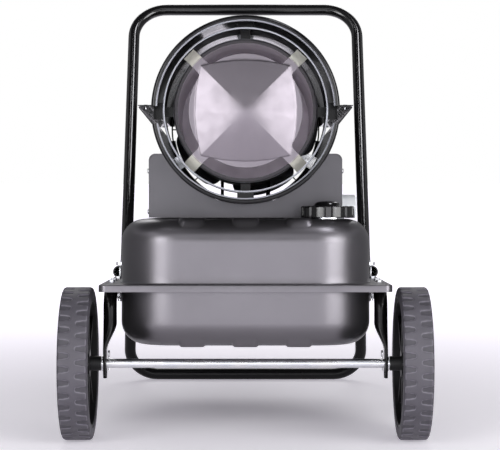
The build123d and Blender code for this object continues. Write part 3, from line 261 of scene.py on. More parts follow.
def skin(name, node, shells, slot, body="root", crease=38.0, look=None):
    """One mesh from closed grids (points, wrap rows, wrap columns), in the place of a frame node."""
    points, faces, offset = [], [], 0
    for grid, wrap_rows, wrap_columns in shells:
        placed = to_row(np.asarray(grid, float))
        flat = placed.reshape(-1, 3)
        quads = outward(flat - flat.mean(0), grid_faces(*placed.shape[:2], wrap_rows, wrap_columns))
        keys, inverse = np.unique(np.round(flat, 7), axis=0, return_inverse=True)
        points.append(keys)
        faces.append(inverse.reshape(-1)[quads] + offset)
        offset += len(keys)
    points, quads = np.concatenate(points), np.concatenate(faces)
    same = quads == np.roll(quads, -1, axis=1)
    whole = quads[same.sum(1) == 0]
    thin = quads[same.sum(1) == 1]
    kept = ~same[same.sum(1) == 1]
    corners = thin[kept].reshape(-1, 3)
    corners = corners[(corners[:, 0] != corners[:, 2])]
    mesh = bpy.data.meshes.new(name)
    mesh.from_pydata(points.tolist(), [], whole.tolist() + corners.tolist())
    mesh.update()
    mesh.polygons.foreach_set("use_smooth", np.ones(len(mesh.polygons), bool))
    mesh.set_sharp_from_angle(angle=math.radians(crease))
    mesh.materials.append(finish(look or slot))
    piece = add_object(name, mesh)
    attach(piece, body)
    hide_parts(node)


def loop_plan(half_w, low, high, corner, sides=28, ends=30, turns=14):
    """A rounded rectangle seen from above: four quarter circles joined by evenly cut straight runs."""
    x, front, rear = half_w - corner, low + corner, high - corner
    centres = np.array([(x, front), (x, rear), (-x, rear), (-x, front)])
    angles = np.radians([-90.0, 0.0, 90.0, 180.0])[:, None] + quarter(turns)
    arcs = centres[:, None] + corner * np.stack([np.cos(angles), np.sin(angles)], axis=-1)
    parts = []
    for arc, start, end, count in zip(
        arcs, arcs[:, -1], np.roll(arcs[:, 0], -1, axis=0), (sides, ends) * 2
    ):
        share = np.linspace(0, 1, count + 2)[1:-1, None]
        parts += [arc, start + (end - start) * share]
    return np.concatenate(parts)


def at_height(plan, z):
    return np.column_stack([plan, np.broadcast_to(z, len(plan))])


def rounded_path(corners, radii, steps=10):
    """Straight runs with an arc at each corner: start + R sin(a) in + R (1 - cos(a)) towards the centre."""
    corners = np.asarray(corners, float)
    path = [corners[:1]]
    for before, here, after, radius in zip(corners, corners[1:], corners[2:], radii):
        inward = (here - before) / np.linalg.norm(here - before)
        onward = (after - here) / np.linalg.norm(after - here)
        turn = math.acos(float(np.clip(inward @ onward, -1, 1)))
        start = here - inward * radius * math.tan(turn / 2)
        side = (onward - math.cos(turn) * inward) / math.sin(turn)
        angle = np.linspace(0, turn, steps)[:, None]
        path.append(start + radius * (np.sin(angle) * inward + (1 - np.cos(angle)) * side))
    return np.concatenate(path + [corners[-1:]])


def sheet_section(curve, wall):
    """A bent sheet's section: the centre line moved half a wall to each side, out and back again."""
    side = normals(curve) * wall / 2
    return np.concatenate([curve + side, (curve - side)[::-1]]), np.concatenate([curve, curve[::-1]])


def turned(section, count=128, start=0.0, sweep=2 * math.pi, middle=None):
    """A section of (radius, station) turned about the barrel's axis, open ends closed on its middle."""
    whole = sweep >= 2 * math.pi
    angles = start + np.linspace(0, sweep, count, endpoint=not whole)
    rows = [section] * count
    if not whole:
        angles = np.concatenate([angles[:1], angles, angles[-1:]])
        rows = [middle] + rows + [middle]
    rows = np.stack(rows)
    radius, station = rows[..., 0], rows[..., 1]
    x = radius * np.cos(angles)[:, None]
    z = radius * np.sin(angles)[:, None] + BARREL_Z
    return np.stack([x, station, z], axis=-1), whole, True


def drawn(section, middle, low, high):
    """A section of (x, height over the barrel's axis) drawn along the barrel and closed on its middle."""
    stations = [(middle, low), (section, low), (section, high), (middle, high)]
    rows = [np.column_stack([s[:, 0], np.full(len(s), y), s[:, 1] + BARREL_Z]) for s, y in stations]
    return np.stack(rows), False, True


def carried_frames(path):
    """Directions across a path, each carried from the last station so that the tube doesn't twist."""
    along = tangents(path)
    side = np.cross(along[0], (0.3, 0.2, 0.9))
    sides = []
    for direction in along:
        side = side - direction * (side @ direction)
        side = side / np.linalg.norm(side)
        sides.append(side)
    sides = np.array(sides)
    return sides, np.cross(along, sides)


def tube_grid(path, radius, wall, count=28):
    """An open round tube: circles round each station outside, then back along the path inside."""
    a, b = carried_frames(path)
    angle = circle(count)
    ring = np.cos(angle)[None, :, None] * a[:, None] + np.sin(angle)[None, :, None] * b[:, None]
    outer = path[:, None] + radius * ring
    inner = path[:, None] + (radius - wall) * ring
    return np.concatenate([outer, inner[::-1]]), True, True


# ---- finishes


class Finish:
    """A node material that is put together socket by socket."""

    def __init__(self, name):
        self.material = bpy.data.materials.new(name)
        self.material.use_nodes = True
        self.tree = self.material.node_tree
        self.tree.nodes.clear()
        self.shader = self.add("BsdfPrincipled")
        self.coords = self.add("TexCoord")
        self.link(self.shader, "BSDF", self.add("OutputMaterial"), "Surface")

    def assign(self, node, values):
        """Sets inputs by name, an underscore standing for a space."""
        for name, value in values.items():
            node.inputs[name.replace("_", " ")].default_value = value
        return node

    def add(self, kind, **values):
        """A new shader node with some of its inputs set."""
        return self.assign(self.tree.nodes.new(f"ShaderNode{kind}"), values)

    def link(self, source, output, target, target_input):
        self.tree.links.new(source.outputs[output], target.inputs[target_input])

    def noise(self, scale, detail=3.0, stretch=None):
        """Noise on the object's own coordinates, drawn out by a Mapping where asked."""
        node = self.add("TexNoise", Scale=scale, Detail=detail, Roughness=0.55)
        source, output = self.coords, "Object"
        if stretch:
            source, output = self.add("Mapping", Scale=stretch), "Vector"
            self.link(self.coords, "Object", source, "Vector")
        self.link(source, output, node, "Vector")
        return node

    def spread(self, source, output, low, high, from_low=0.35, from_high=0.65):
        """A value carried from one range to another; the usual first range is that of noise."""
        node = self.add("MapRange", From_Min=from_low, From_Max=from_high, To_Min=low, To_Max=high)
        self.link(source, output, node, "Value")
        return node

    def blend(self, factor, first, second):
        """A colour between two colours, or between a colour and another node's, by a Map Range."""
        node = self.add("Mix")
        node.data_type = "RGBA"
        self.tree.links.new(factor.outputs["Result"], node.inputs[0])
        for socket, value in ((6, first), (7, second)):
            if isinstance(value, tuple):
                node.inputs[socket].default_value = (*value, 1.0)
            else:
                self.tree.links.new(value.outputs[2], node.inputs[socket])
        return node

    def vector(self, operation, *values):
        """A vector node; each value is a plain vector or another node."""
        node = self.add("VectorMath")
        node.operation = operation
        for socket, value in enumerate(values):
            if isinstance(value, tuple):
                node.inputs[socket].default_value = value
            else:
                self.tree.links.new(value.outputs[0], node.inputs[socket])
        return node

    def placed(self, centre):
        """The shaded point, measured from a centre."""
        node = self.vector("SUBTRACT")
        self.link(self.coords, "Object", node, 0)
        node.inputs[1].default_value = centre
        return node

    def distance(self, centre, axis=BARREL_AXIS):
        """Distance from the line through a point along an axis."""
        offset = self.placed(centre)
        lengthways = self.vector("PROJECT", offset, axis)
        return self.vector("LENGTH", self.vector("SUBTRACT", offset, lengthways))

    def along(self, centre):
        """Distance rearward of a point, measured along the barrel's axis."""
        return self.vector("DOT_PRODUCT", self.placed(centre), BARREL_AXIS)

    def ramp(self, node, start, end):
        """0 up to one measure and 1 from another, straight between."""
        return self.spread(node, "Value", 0.0, 1.0, start, end)

    def tones(self, base, low, high, scale=TONE_SCALE, detail=3.0):
        """A colour that drifts between two shades of itself."""
        tone = self.spread(self.noise(scale, detail), "Fac", 0.0, 1.0)
        return self.blend(tone, shade(base, low), shade(base, high))

    def sheen(self, low, high, scale, detail=3.0, stretch=None):
        """Roughness that wanders between two values."""
        wander = self.spread(self.noise(scale, detail, stretch=stretch), "Fac", low, high)
        self.link(wander, "Result", self.shader, "Roughness")

    def colour_from(self, node):
        self.tree.links.new(node.outputs[2], self.shader.inputs["Base Color"])

    def plain(self, **values):
        """Sets uniform values straight on the shader."""
        self.assign(self.shader, values)

    def grain(self, layers):
        """Bumps laid over each other: (noise, height in metres) pairs."""
        last = None
        for source, height in layers:
            bump = self.add("Bump", Distance=height)
            self.link(source, source.outputs[0].name, bump, "Height")
            if last:
                self.link(last, "Normal", bump, "Normal")
            last = bump
        self.link(last, "Normal", self.shader, "Normal")
        if self.shader.inputs["Coat Weight"].default_value > 0:
            self.link(last, "Normal", self.shader, "Coat Normal")


def shade(base, factor):
    return tuple(min(1.0, c * factor) for c in base)


def painted(name, base, rough, metal=0.0, coat=0.0, coat_rough=0.08, drift=0.08, rough_drift=0.04,
            peel=0.00003, peel_scale=420.0, specular=0.5):
    """Paint, plastic or metal: two tones of its colour, uneven gloss and a fine peel."""
    made = Finish(name)
    made.colour_from(made.tones(base, 1 - drift, 1 + drift))
    made.sheen(rough - rough_drift, rough + rough_drift, TONE_SCALE * 2.7)
    made.plain(Metallic=metal, Specular_IOR_Level=specular, Coat_Weight=coat, Coat_Roughness=coat_rough)
    made.grain([(made.noise(peel_scale, 2.0), peel), (made.noise(peel_scale * 3.1, 2.0), peel * 0.35)])
    return made.material


def zinc_plate():
    """Bright zinc: bluish and whitish patches, drawn scratches and soft dents."""
    made = Finish("zinc_plate")
    patches = made.spread(made.noise(26.0, 2.0), "Fac", 0.0, 1.0)
    made.colour_from(made.blend(patches, (0.74, 0.76, 0.80), (0.85, 0.85, 0.86)))
    made.sheen(0.19, 0.34, 90.0, stretch=(0.15, 1.0, 1.0))
    made.plain(Metallic=1.0)
    scratches = made.noise(500.0, 2.0, stretch=(0.1, 1.0, 1.0))
    made.grain([(made.noise(120.0, 2.0), 0.000006), (scratches, 0.000002)])
    return made.material


def heat_steel(name, base, centre, inner, outer, rough, pale):
    """Heat resisting steel that turns to a dull pale oxide outwards from the barrel's axis."""
    made = Finish(name)
    away = made.distance(centre)
    clean, oxide = made.tones(base, 0.95, 1.05, detail=2.0), made.tones(pale, 0.96, 1.03, detail=2.0)
    made.colour_from(made.blend(made.ramp(away, inner, outer), clean, oxide))
    made.sheen(rough - 0.03, rough + 0.04, 60.0)
    made.link(made.spread(away, "Value", 1.0, 0.15, inner, outer), "Result", made.shader, "Metallic")
    made.grain([(made.noise(11.0, 1.0), 0.00010), (made.noise(520.0, 2.0), 0.000005)])
    return made.material


def gloss_with_painted_edge(name, base, measure, point, dark_from, bright_to):
    """Black gloss enamel with a painted highlight: a pale band on a rolled or cut edge, found along the
    axis or by its distance.
    """
    made = Finish(name)
    # Painted highlight: pale (0.46, 0.47, 0.53) inside the edge's band, fading into the dark enamel beyond
    # it.
    painted_edge_highlight = made.ramp(getattr(made, measure)(point), bright_to, dark_from)
    made.colour_from(made.blend(painted_edge_highlight, (0.46, 0.47, 0.53), made.tones(base, 0.92, 1.08)))
    made.sheen(0.11, 0.17, 24.0)
    made.plain(Specular_IOR_Level=0.24, Coat_Weight=0.15, Coat_Roughness=0.03)
    made.grain([(made.noise(110.0, 2.0), 0.000008), (made.noise(400.0, 2.0), 0.000002)])
    return made.material


def chamber_steel(base, lip, front):
    """Chamber steel: a lip burned dark with a painted highlight on its outer rim, a dark outside wall, a
    mauve bloom behind the lip inside.
    """
    made = Finish("chamber_steel")
    behind = made.ramp(made.along(front), 0.003, 0.010)
    rim = made.ramp(made.distance(front), 0.1146, 0.1154)
    # Painted highlight: the lip's front is pale (0.42, 0.42, 0.46) on its outer rim and dark inside it.
    burnt_lip_painted_rim = made.blend(rim, lip, (0.42, 0.42, 0.46))
    # Behind the lip: mauve tones inside the wall, 1.4 times the lip's dark colour outside it.
    wall_in_and_out = made.blend(rim, made.tones(base, 0.90, 1.06, 16.0), shade(lip, 1.4))
    made.colour_from(made.blend(behind, burnt_lip_painted_rim, wall_in_and_out))
    made.sheen(0.36, 0.50, 50.0)
    made.plain(Metallic=0.55)
    made.grain([(made.noise(40.0, 2.0), 0.0002), (made.noise(520.0, 2.0), 0.00001)])
    return made.material


def tyre_rubber(base, radius):
    """Moulded grey tyre: dusty bloom over a fine moulding texture, painted shade below the tread and a
    painted highlight round the tread pockets.
    """
    made = Finish("tyre_rubber")
    place = made.distance(tuple(to_row(np.array([0.0, 0.0, AXLE_Z]))), AXLE_DIRECTION)
    wall = made.ramp(place, radius - 0.0015, radius - 0.0009)
    raised = made.ramp(place, radius - 0.0007, radius - 0.0002)
    # Painted shade and highlight: below the tread (pocket floors, shoulders, side walls) 0.74 times the
    # rubber, high on the pocket walls 1.9 times it.
    rim = made.blend(wall, shade(base, 0.74), shade(base, 1.9))
    made.colour_from(made.blend(raised, rim, made.tones(base, 0.88, 1.14, 14.0, 5.0)))
    made.sheen(0.50, 0.64, 40.0)
    made.plain(Specular_IOR_Level=0.45)
    made.grain([(made.noise(900.0, 3.0), 0.00005), (made.noise(150.0, 2.0), 0.00008)])
    return made.material


def circuit_green():
    """Solder mask over faint tracks: stripes of two greens."""
    made = Finish("circuit_green")
    tracks = made.add("TexWave", Scale=60.0)
    made.link(made.coords, "Object", tracks, "Vector")
    line = made.spread(tracks, "Fac", 0.0, 1.0, 0.6, 0.7)
    made.colour_from(made.blend(line, (0.010, 0.075, 0.026), (0.020, 0.14, 0.05)))
    made.plain(Roughness=0.35)
    made.grain([(made.noise(600.0), 0.00003)])
    return made.material


def dial_face():
    """A pale dial inside a dark rim, split by the distance from its middle."""
    made = Finish("dial_face")
    low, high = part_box("pressure_gauge")
    rim = made.ramp(made.distance(tuple((low + high) / 2)), 0.0138, 0.0142)
    made.colour_from(made.blend(rim, (0.78, 0.77, 0.74), (0.02, 0.02, 0.022)))
    made.plain(Roughness=0.3)
    made.grain([(made.noise(500.0), 0.00002)])
    return made.material


def on_axis(station):
    """The point of the barrel's axis at a station, in the row frame."""
    return tuple(to_row(np.array([0.0, station, BARREL_Z])))


def finishes(settings):
    """Every finish by the name of the record's material slot."""
    middle = on_axis(settings.deflector.station)
    axis = on_axis(settings.barrel.front)
    guide_front = on_axis(settings.mouth.guide_front)
    lip_front = on_axis(settings.mouth.chamber_front)
    steel = tuple(settings.deflector.steel)
    return {
        "tank_paint": painted("tank_satin", tuple(settings.tank.paint), 0.34, metal=0.9, specular=1.0,
                              drift=0.03, rough_drift=0.02, peel=0.00004),
        "box_paint": painted("box_satin", (0.094, 0.091, 0.099), 0.38, metal=0.85, specular=1.0, drift=0.04,
                             rough_drift=0.02, peel=0.00005),
        "frame_paint": painted("frame_gloss", tuple(settings.frames.paint), 0.17, specular=0.50, coat=0.35,
                               coat_rough=0.06, peel=0.000003, peel_scale=120.0),
        "loop_paint": painted("loop_gloss", tuple(settings.frames.paint), 0.22, specular=0.20, peel=0.00004,
                              peel_scale=300.0),
        # Painted highlight on the inner end of the barrel's rolled bead, within 0.142 m of the axis.
        "barrel_paint": gloss_with_painted_edge(
            "barrel_gloss", tuple(settings.barrel.paint), "distance", axis, 0.1430, 0.1420
        ),
        "bracket_black": painted("bracket_gloss", tuple(settings.barrel.paint), 0.22, specular=0.24),
        # Painted highlight on the guide's cut front edge, within 1 mm of it.
        "guide_enamel": gloss_with_painted_edge(
            "guide_enamel", tuple(settings.mouth.enamel), "along", guide_front, 0.0016, 0.0010
        ),
        "zinc": zinc_plate(),
        "heat_steel": chamber_steel((0.52, 0.475, 0.53), (0.035, 0.032, 0.037), lip_front),
        "deflector_steel": heat_steel(
            "deflector_steel", steel, middle, 0.1095, 0.1125, 0.34, (1.0, 0.96, 0.87)
        ),
        "bright_steel": painted(
            "bright_steel", (0.62, 0.62, 0.64), 0.22, metal=1.0, peel=0.00001, peel_scale=700.0
        ),
        "tyre_grey": tyre_rubber(tuple(settings.wheels.rubber), settings.wheels.radius),
        "wheel_black": painted(
            "wheel_moulding", (0.006, 0.006, 0.0068), 0.44, peel=0.00005, peel_scale=800.0
        ),
        "cap_black": painted("cap_moulding", tuple(settings.cap.plastic), 0.20, coat=0.25, peel=0.00003,
                             peel_scale=500.0),
        "knob_pale": painted(
            "knob_moulding", (0.92, 0.94, 0.98), 0.36, peel=0.00003, peel_scale=700.0, drift=0.03
        ),
        "rubber_black": painted("hose_rubber", (0.012, 0.012, 0.013), 0.62, peel=0.00006, peel_scale=900.0),
        "fan_alloy": painted(
            "fan_alloy", (0.34, 0.34, 0.36), 0.36, metal=1.0, peel=0.00004, peel_scale=500.0
        ),
        "motor_paint": painted("motor_paint", (0.030, 0.030, 0.033), 0.42, peel=0.00006, peel_scale=500.0),
        "carbon": painted("carbon", (0.02, 0.02, 0.021), 0.5, peel=0.00004),
        "brass": painted("brass", (0.62, 0.45, 0.19), 0.26, metal=1.0, peel=0.00002, peel_scale=600.0),
        "ceramic": painted("porcelain", (0.72, 0.70, 0.66), 0.18, coat=0.5, peel=0.00002),
        "board_green": circuit_green(),
        "moulding_dark": painted(
            "dark_moulding", (0.018, 0.018, 0.020), 0.45, peel=0.00005, peel_scale=700.0
        ),
        "gauge_face": dial_face(),
    }


def finish(slot):
    """The finish of a slot, made once for the whole heater."""
    if not finish.made:
        finish.made.update(finishes(bpy.context.scene.heater))
    return finish.made[slot]


finish.made = {}


# ---- the pieces


class HEATER_OT_tank(bpy.types.Operator):
    """Build the two pressed halves of the fuel tank with their stamped pads"""

    bl_idname = "heater.tank"
    bl_label = "Fuel tank"

    def plan(self, s, inset):
        return loop_plan(s.half_width - inset, s.front + inset, s.back - inset, s.corner - inset)

    def flange(self, s, inset):
        return loop_plan(
            s.half_width + s.flange_side - inset, s.front - s.flange_front + inset,
            s.back + s.flange_back - inset, s.flange_corner - inset,
        )

    def closed(self, rows, upper):
        """The rows as one grid, upside down for the lower half."""
        return np.stack(rows) * (1, 1, 1 if upper else -1), False, True

    def filled(self, s, ring, shares):
        """Rings drawn in towards the tank's middle line: middle + share times the distance from it."""
        y = np.clip(ring[:, 1], s.front + s.half_width, s.back - s.half_width)
        middle = np.column_stack([np.zeros(len(ring)), y, ring[:, 2]])
        return [middle + share * (ring - middle) for share in shares]

    def domed(self, s, depth, inset, steps=14):
        """The rounded edge: inset e (1 - sin a), height depth - e (1 - cos a), from face to wall."""
        edge, rows = s.edge - inset, []
        for angle in quarter(steps):
            drawn_in = inset + edge * (1 - math.sin(angle))
            rows.append(at_height(self.plan(s, drawn_in), depth - inset - edge * (1 - math.cos(angle))))
        return rows

    def half(self, s, depth, upper):
        """One half from its face's middle, over the edge, down the wall, round the flange, back inside."""
        shares = np.linspace(0, 1, 9)[:-1]
        outer = self.domed(s, depth, 0.0)
        rows = self.filled(s, outer[0], shares) + outer
        root = 0.003
        low = 0.0 if upper else 2 * SHEET
        rows += [at_height(self.plan(s, 0.0), z) for z in np.linspace(depth - s.edge, low + root, 6)[1:-1]]
        for angle in quarter(5):
            rows.append(
                at_height(self.plan(s, -root * (1 - math.cos(angle))), low + root * (1 - math.sin(angle)))
            )
        if upper:
            bend = 0.002
            rim = [(bend * (1 - math.sin(a)), -bend * (1 - math.cos(a))) for a in quarter(5)]
            rim += [(0.0, -s.lip), (SHEET, -s.lip), (SHEET, -SHEET)]
        else:
            inside_lip = SHEET + 0.0003
            rim = [(inside_lip, 2 * SHEET), (inside_lip, SHEET)]
        rows += [at_height(self.flange(s, inset), z) for inset, z in rim]
        inner = self.domed(s, depth, SHEET, 8)[::-1]
        rows.append(at_height(self.plan(s, SHEET), -SHEET if upper else SHEET))
        rows += inner + self.filled(s, inner[-1], shares[::-1])
        return self.closed(rows, upper)

    def face_height(self, s, depth, y):
        """Height of the tank's face at a station: depth less the rounding e - sqrt(e^2 - (e - inset)^2)."""
        inset = np.clip(np.minimum(y - s.front, s.back - y), 0.0, s.edge)
        return depth - (s.edge - np.sqrt(s.edge**2 - (s.edge - inset) ** 2))

    def pad(self, s, depth, middle, upper):
        """A stamped pad: flat on top, eased down its sides until it meets the tank's own face."""
        low, high = s.front + s.pad_inset, s.back - s.pad_inset
        soft, slope, rows = 0.0024, 0.016, []

        def ring(share):
            out, end = soft * (2 * share - 1), slope * (1 - share) - soft
            return loop_plan(
                s.pad_half + out, low + end, high - end, 0.008 + out, 60, 16, 8
            ) + (middle, 0.0)

        flat = ring(0.0)
        core = np.column_stack([np.full(len(flat), middle), np.clip(flat[:, 1], low + 0.035, high - 0.035)])
        rows += [at_height(core + share * (flat - core), depth + s.pad_rise) for share in (0.0, 0.5)]
        for share in np.linspace(0, 1, 13):
            plan = ring(share)
            base = self.face_height(s, depth, plan[:, 1]) - 0.0001
            weight = 1 - smooth_step(0.0, 1.0, share)
            rows.append(at_height(plan, base + weight * (depth + s.pad_rise - base)))
        rows.append(at_height(flat, self.face_height(s, depth, flat[:, 1]) - 0.003))
        rows.append(at_height(core, depth - 0.020))
        return self.closed(rows, upper)

    def execute(self, context):
        s = context.scene.heater.tank
        for name, depth, upper in (("tank_upper", s.top, True), ("tank_lower", s.bottom, False)):
            shells = [self.half(s, depth, upper)]
            shells += [self.pad(s, depth, step * s.pad_pitch, upper) for step in (-1, 0, 1)]
            skin(f"{name}_skin", f"{name}_shell", shells, "tank_paint")
        return {"FINISHED"}


class HEATER_OT_frames(bpy.types.Operator):
    """Build the lower frame with its flattened front legs, and the handle"""

    bl_idname = "heater.frames"
    bl_label = "Frame and handle"

    def leg(self, side):
        """A leg squeezed flat: superellipse sections whose half sizes ease from round to plate and tip."""
        height = np.concatenate(
            [np.linspace(-0.062, -0.112, 16), np.linspace(-0.116, -0.150, 6), [-0.1545, -0.156]]
        )
        squeeze = smooth_step(-0.064, -0.112, height)
        tip = smooth_step(-0.146, -0.157, height)
        round_half, plate_across, plate_deep, outset = 0.0111, 0.0029, 0.0170, 0.00825
        across = round_half + (plate_across - round_half) * squeeze
        deep = (round_half + (plate_deep - round_half) * squeeze) * (1 - 0.45 * tip)
        middle = side * (RAIL_X + outset * squeeze)
        power = 2.0 + 2.0 * squeeze
        angle = circle(32)
        c, n = np.cos(angle)[None], np.sin(angle)[None]
        x = np.sign(c) * np.abs(c) ** (2 / power[:, None]) * across[:, None]
        y = np.sign(n) * np.abs(n) ** (2 / power[:, None]) * deep[:, None]
        z = np.broadcast_to(height[:, None], x.shape)
        rows = np.stack([x + middle[:, None], y, z], axis=-1)
        return capped(rows)

    def run(self, half, radii):
        """A mirrored path, made dense enough along its straight runs for an even tube."""
        path = rounded_path([(-x, y, z) for x, y, z in half] + half[::-1], radii + radii[::-1], 14)
        steps = np.linalg.norm(np.diff(path, axis=0), axis=1)
        counts = np.maximum(1, np.round(steps / 0.045).astype(int))
        share = np.concatenate([k + np.linspace(0, 1, c, endpoint=False) for k, c in enumerate(counts)])
        share = np.append(share, len(path) - 1.0)
        return np.column_stack([np.interp(share, np.arange(len(path)), path[:, n]) for n in range(3)])

    def execute(self, context):
        s = context.scene.heater.frames
        low = -2 * SHEET - s.tube_radius
        half = [(0.222, 0.0, -0.064), (0.222, 0.0, low), (0.222, 0.566, low), (0.231, 0.654, -0.2075)]
        path = self.run(half, (0.030, 0.048, 0.054))
        shells = [tube_grid(path, s.tube_radius, s.tube_wall), self.leg(-1), self.leg(1)]
        skin("lower_frame_skin", "lower_frame", shells, "frame_paint", look="loop_paint")
        half = [(0.222, 0.215, 0.011), (0.222, 0.407, 0.011), (0.222, 0.680, 0.521)]
        path = self.run(half, (0.050, 0.064))
        skin("handle_skin", "handle_frame", [tube_grid(path, s.tube_radius, s.tube_wall)], "frame_paint")
        return {"FINISHED"}


class HEATER_OT_tyres(bpy.types.Operator):
    """Build the two tyres with their staggered tread pockets"""

    bl_idname = "heater.tyres"
    bl_label = "Tyres"

    def section(self, s):
        """Half way round the tyre's section: flat tread, rounded shoulders, side walls and bore."""
        half, edge = s.half_width, s.shoulder
        tread = np.linspace(-(half - edge), half - edge, 31)
        arc = quarter(7)[1:]
        shoulder = np.column_stack([s.radius - edge * (1 - np.cos(arc)), half - edge + edge * np.sin(arc)])
        wall = np.column_stack([np.linspace(s.radius - edge, s.bore, 4)[1:], np.full(3, half)])
        side = np.concatenate([shoulder, wall])
        mirrored = side[::-1] * (1, -1)
        return np.concatenate([mirrored, np.column_stack([np.full(len(tread), s.radius), tread]), side])

    def tyre(self, s, side):
        """Radius less the pocket's depth inside a tongue: distance to its axis under its half width."""
        section = self.section(s)
        steps = 14
        angle = circle(s.pockets * steps)[:, None]
        radius, across = section[None, :, 0], section[None, :, 1] * np.ones_like(angle)
        pitch = 2 * math.pi / s.pockets
        shift = np.where(across > 0, pitch / 2, 0.0)
        along = ((angle + shift + pitch / 2) % pitch - pitch / 2) * s.radius
        tip_inset, tongue_half, widening = 0.0045, 0.0042, 0.11
        tip = s.half_width - s.pocket_length + tip_inset
        beyond = np.maximum(0.0, tip - np.abs(across))
        width = tongue_half + widening * np.maximum(0.0, np.abs(across) - tip)
        inside = 1 - smooth_step(-0.0005, 0.0009, np.hypot(along, beyond) - width)
        tread = smooth_step(s.radius - s.shoulder, s.radius - 0.5 * s.shoulder, radius)
        sunk = radius - s.pocket_depth * inside * tread
        x = side * s.middle + across
        return np.stack([x, sunk * np.cos(angle), AXLE_Z + sunk * np.sin(angle)], axis=-1), True, True

    def execute(self, context):
        s = context.scene.heater.wheels
        for name, side in (("left", -1), ("right", 1)):
            skin(
                f"tyre_{name}_skin", f"tyre_{name}", [self.tyre(s, side)], "tyre_grey", f"wheel_{name}",
                50.0
            )
        return {"FINISHED"}


class HEATER_OT_barrel(bpy.types.Operator):
    """Build the barrel's two half shells with rolled edges and folded side seams"""

    bl_idname = "heater.barrel"
    bl_label = "Barrel"

    def wall_line(self, s):
        """Centre line of the rolled sheet: curl, straight wall, curl."""
        radius, curl = s.radius - SHEET / 2, s.bead
        angle = np.linspace(math.pi, 2 * math.pi, 12)
        station = s.front + SHEET / 2 + curl + curl * np.sin(angle)
        front = np.column_stack([radius - curl + curl * np.cos(angle), station])
        rear = front[::-1] * (1, -1) + (0, s.front + s.back)
        wall = np.column_stack([np.full(14, radius), np.linspace(front[-1, 1], rear[0, 1], 16)[1:-1]])
        return np.concatenate([front, wall, rear])

    def execute(self, context):
        s = context.scene.heater.barrel
        section, middle = sheet_section(self.wall_line(s), SHEET)
        low, high = s.front + 2 * s.bead, s.back - 2 * s.bead
        tip = s.radius + s.seam_out
        top = math.asin(s.seam_top / s.radius)
        under = math.asin(s.seam_low / s.radius)
        upper = [turned(section, 96, top, math.pi - 2 * top, middle)]
        lower = [turned(section, 96, math.pi + under, math.pi - 2 * under, middle)]
        for side in (-1, 1):
            start = s.radius - 0.0006
            flat = [(side * start, s.seam_top + SHEET / 2), (side * tip, s.seam_top + SHEET / 2)]
            fold = np.linspace(flat[0], flat[1], 6)
            upper.append(drawn(*sheet_section(fold, SHEET), low, high))
            root = s.radius * math.cos(under) - 0.0008
            bent = rounded_path(
                [(side * root, -s.seam_low - 0.0006), (side * (tip - 0.0009), s.seam_top - 0.0016),
                 (side * (s.radius + 0.003), s.seam_top - SHEET / 2)],
                [0.0009], 7,
            )
            lower.append(drawn(*sheet_section(bent, SHEET * 0.9), low, high))
        for name, shells in (("upper", upper), ("lower", lower)):
            skin(f"barrel_{name}_skin", f"barrel_{name}_shell", shells, "barrel_paint")
        return {"FINISHED"}


class HEATER_OT_mouth(bpy.types.Operator):
    """Build the air guide and the combustion chamber inside the barrel's mouth"""

    bl_idname = "heater.mouth"
    bl_label = "Air guide and chamber"

    def execute(self, context):
        s = context.scene.heater.mouth
        lip, bend = 0.0022, 0.0014
        radius = s.guide_radius - SHEET / 2
        front = s.guide_front + SHEET / 2
        line = rounded_path([(radius - lip, front), (radius, front), (radius, s.guide_back)], [bend], 8)
        wall = np.column_stack([np.full(8, radius), np.linspace(line[-2, 1], s.guide_back, 9)[1:]])
        section, _ = sheet_section(np.concatenate([line[:-1], wall]), SHEET)
        skin("air_guide_skin", "air_guide", [turned(section, 144)], "guide_enamel")
        fold, rear_rim = 0.0024, 0.010
        radius = s.chamber_radius - SHEET / 2
        front = s.chamber_front + SHEET / 2
        back = s.chamber_back - SHEET / 2
        corners = [(s.lip_radius, front), (radius, front), (radius, back), (radius - rear_rim, back)]
        section, _ = sheet_section(rounded_path(corners, [fold, fold], 8), SHEET)
        skin("chamber_skin", "combustion_chamber", [turned(section, 144)], "heat_steel")
        return {"FINISHED"}


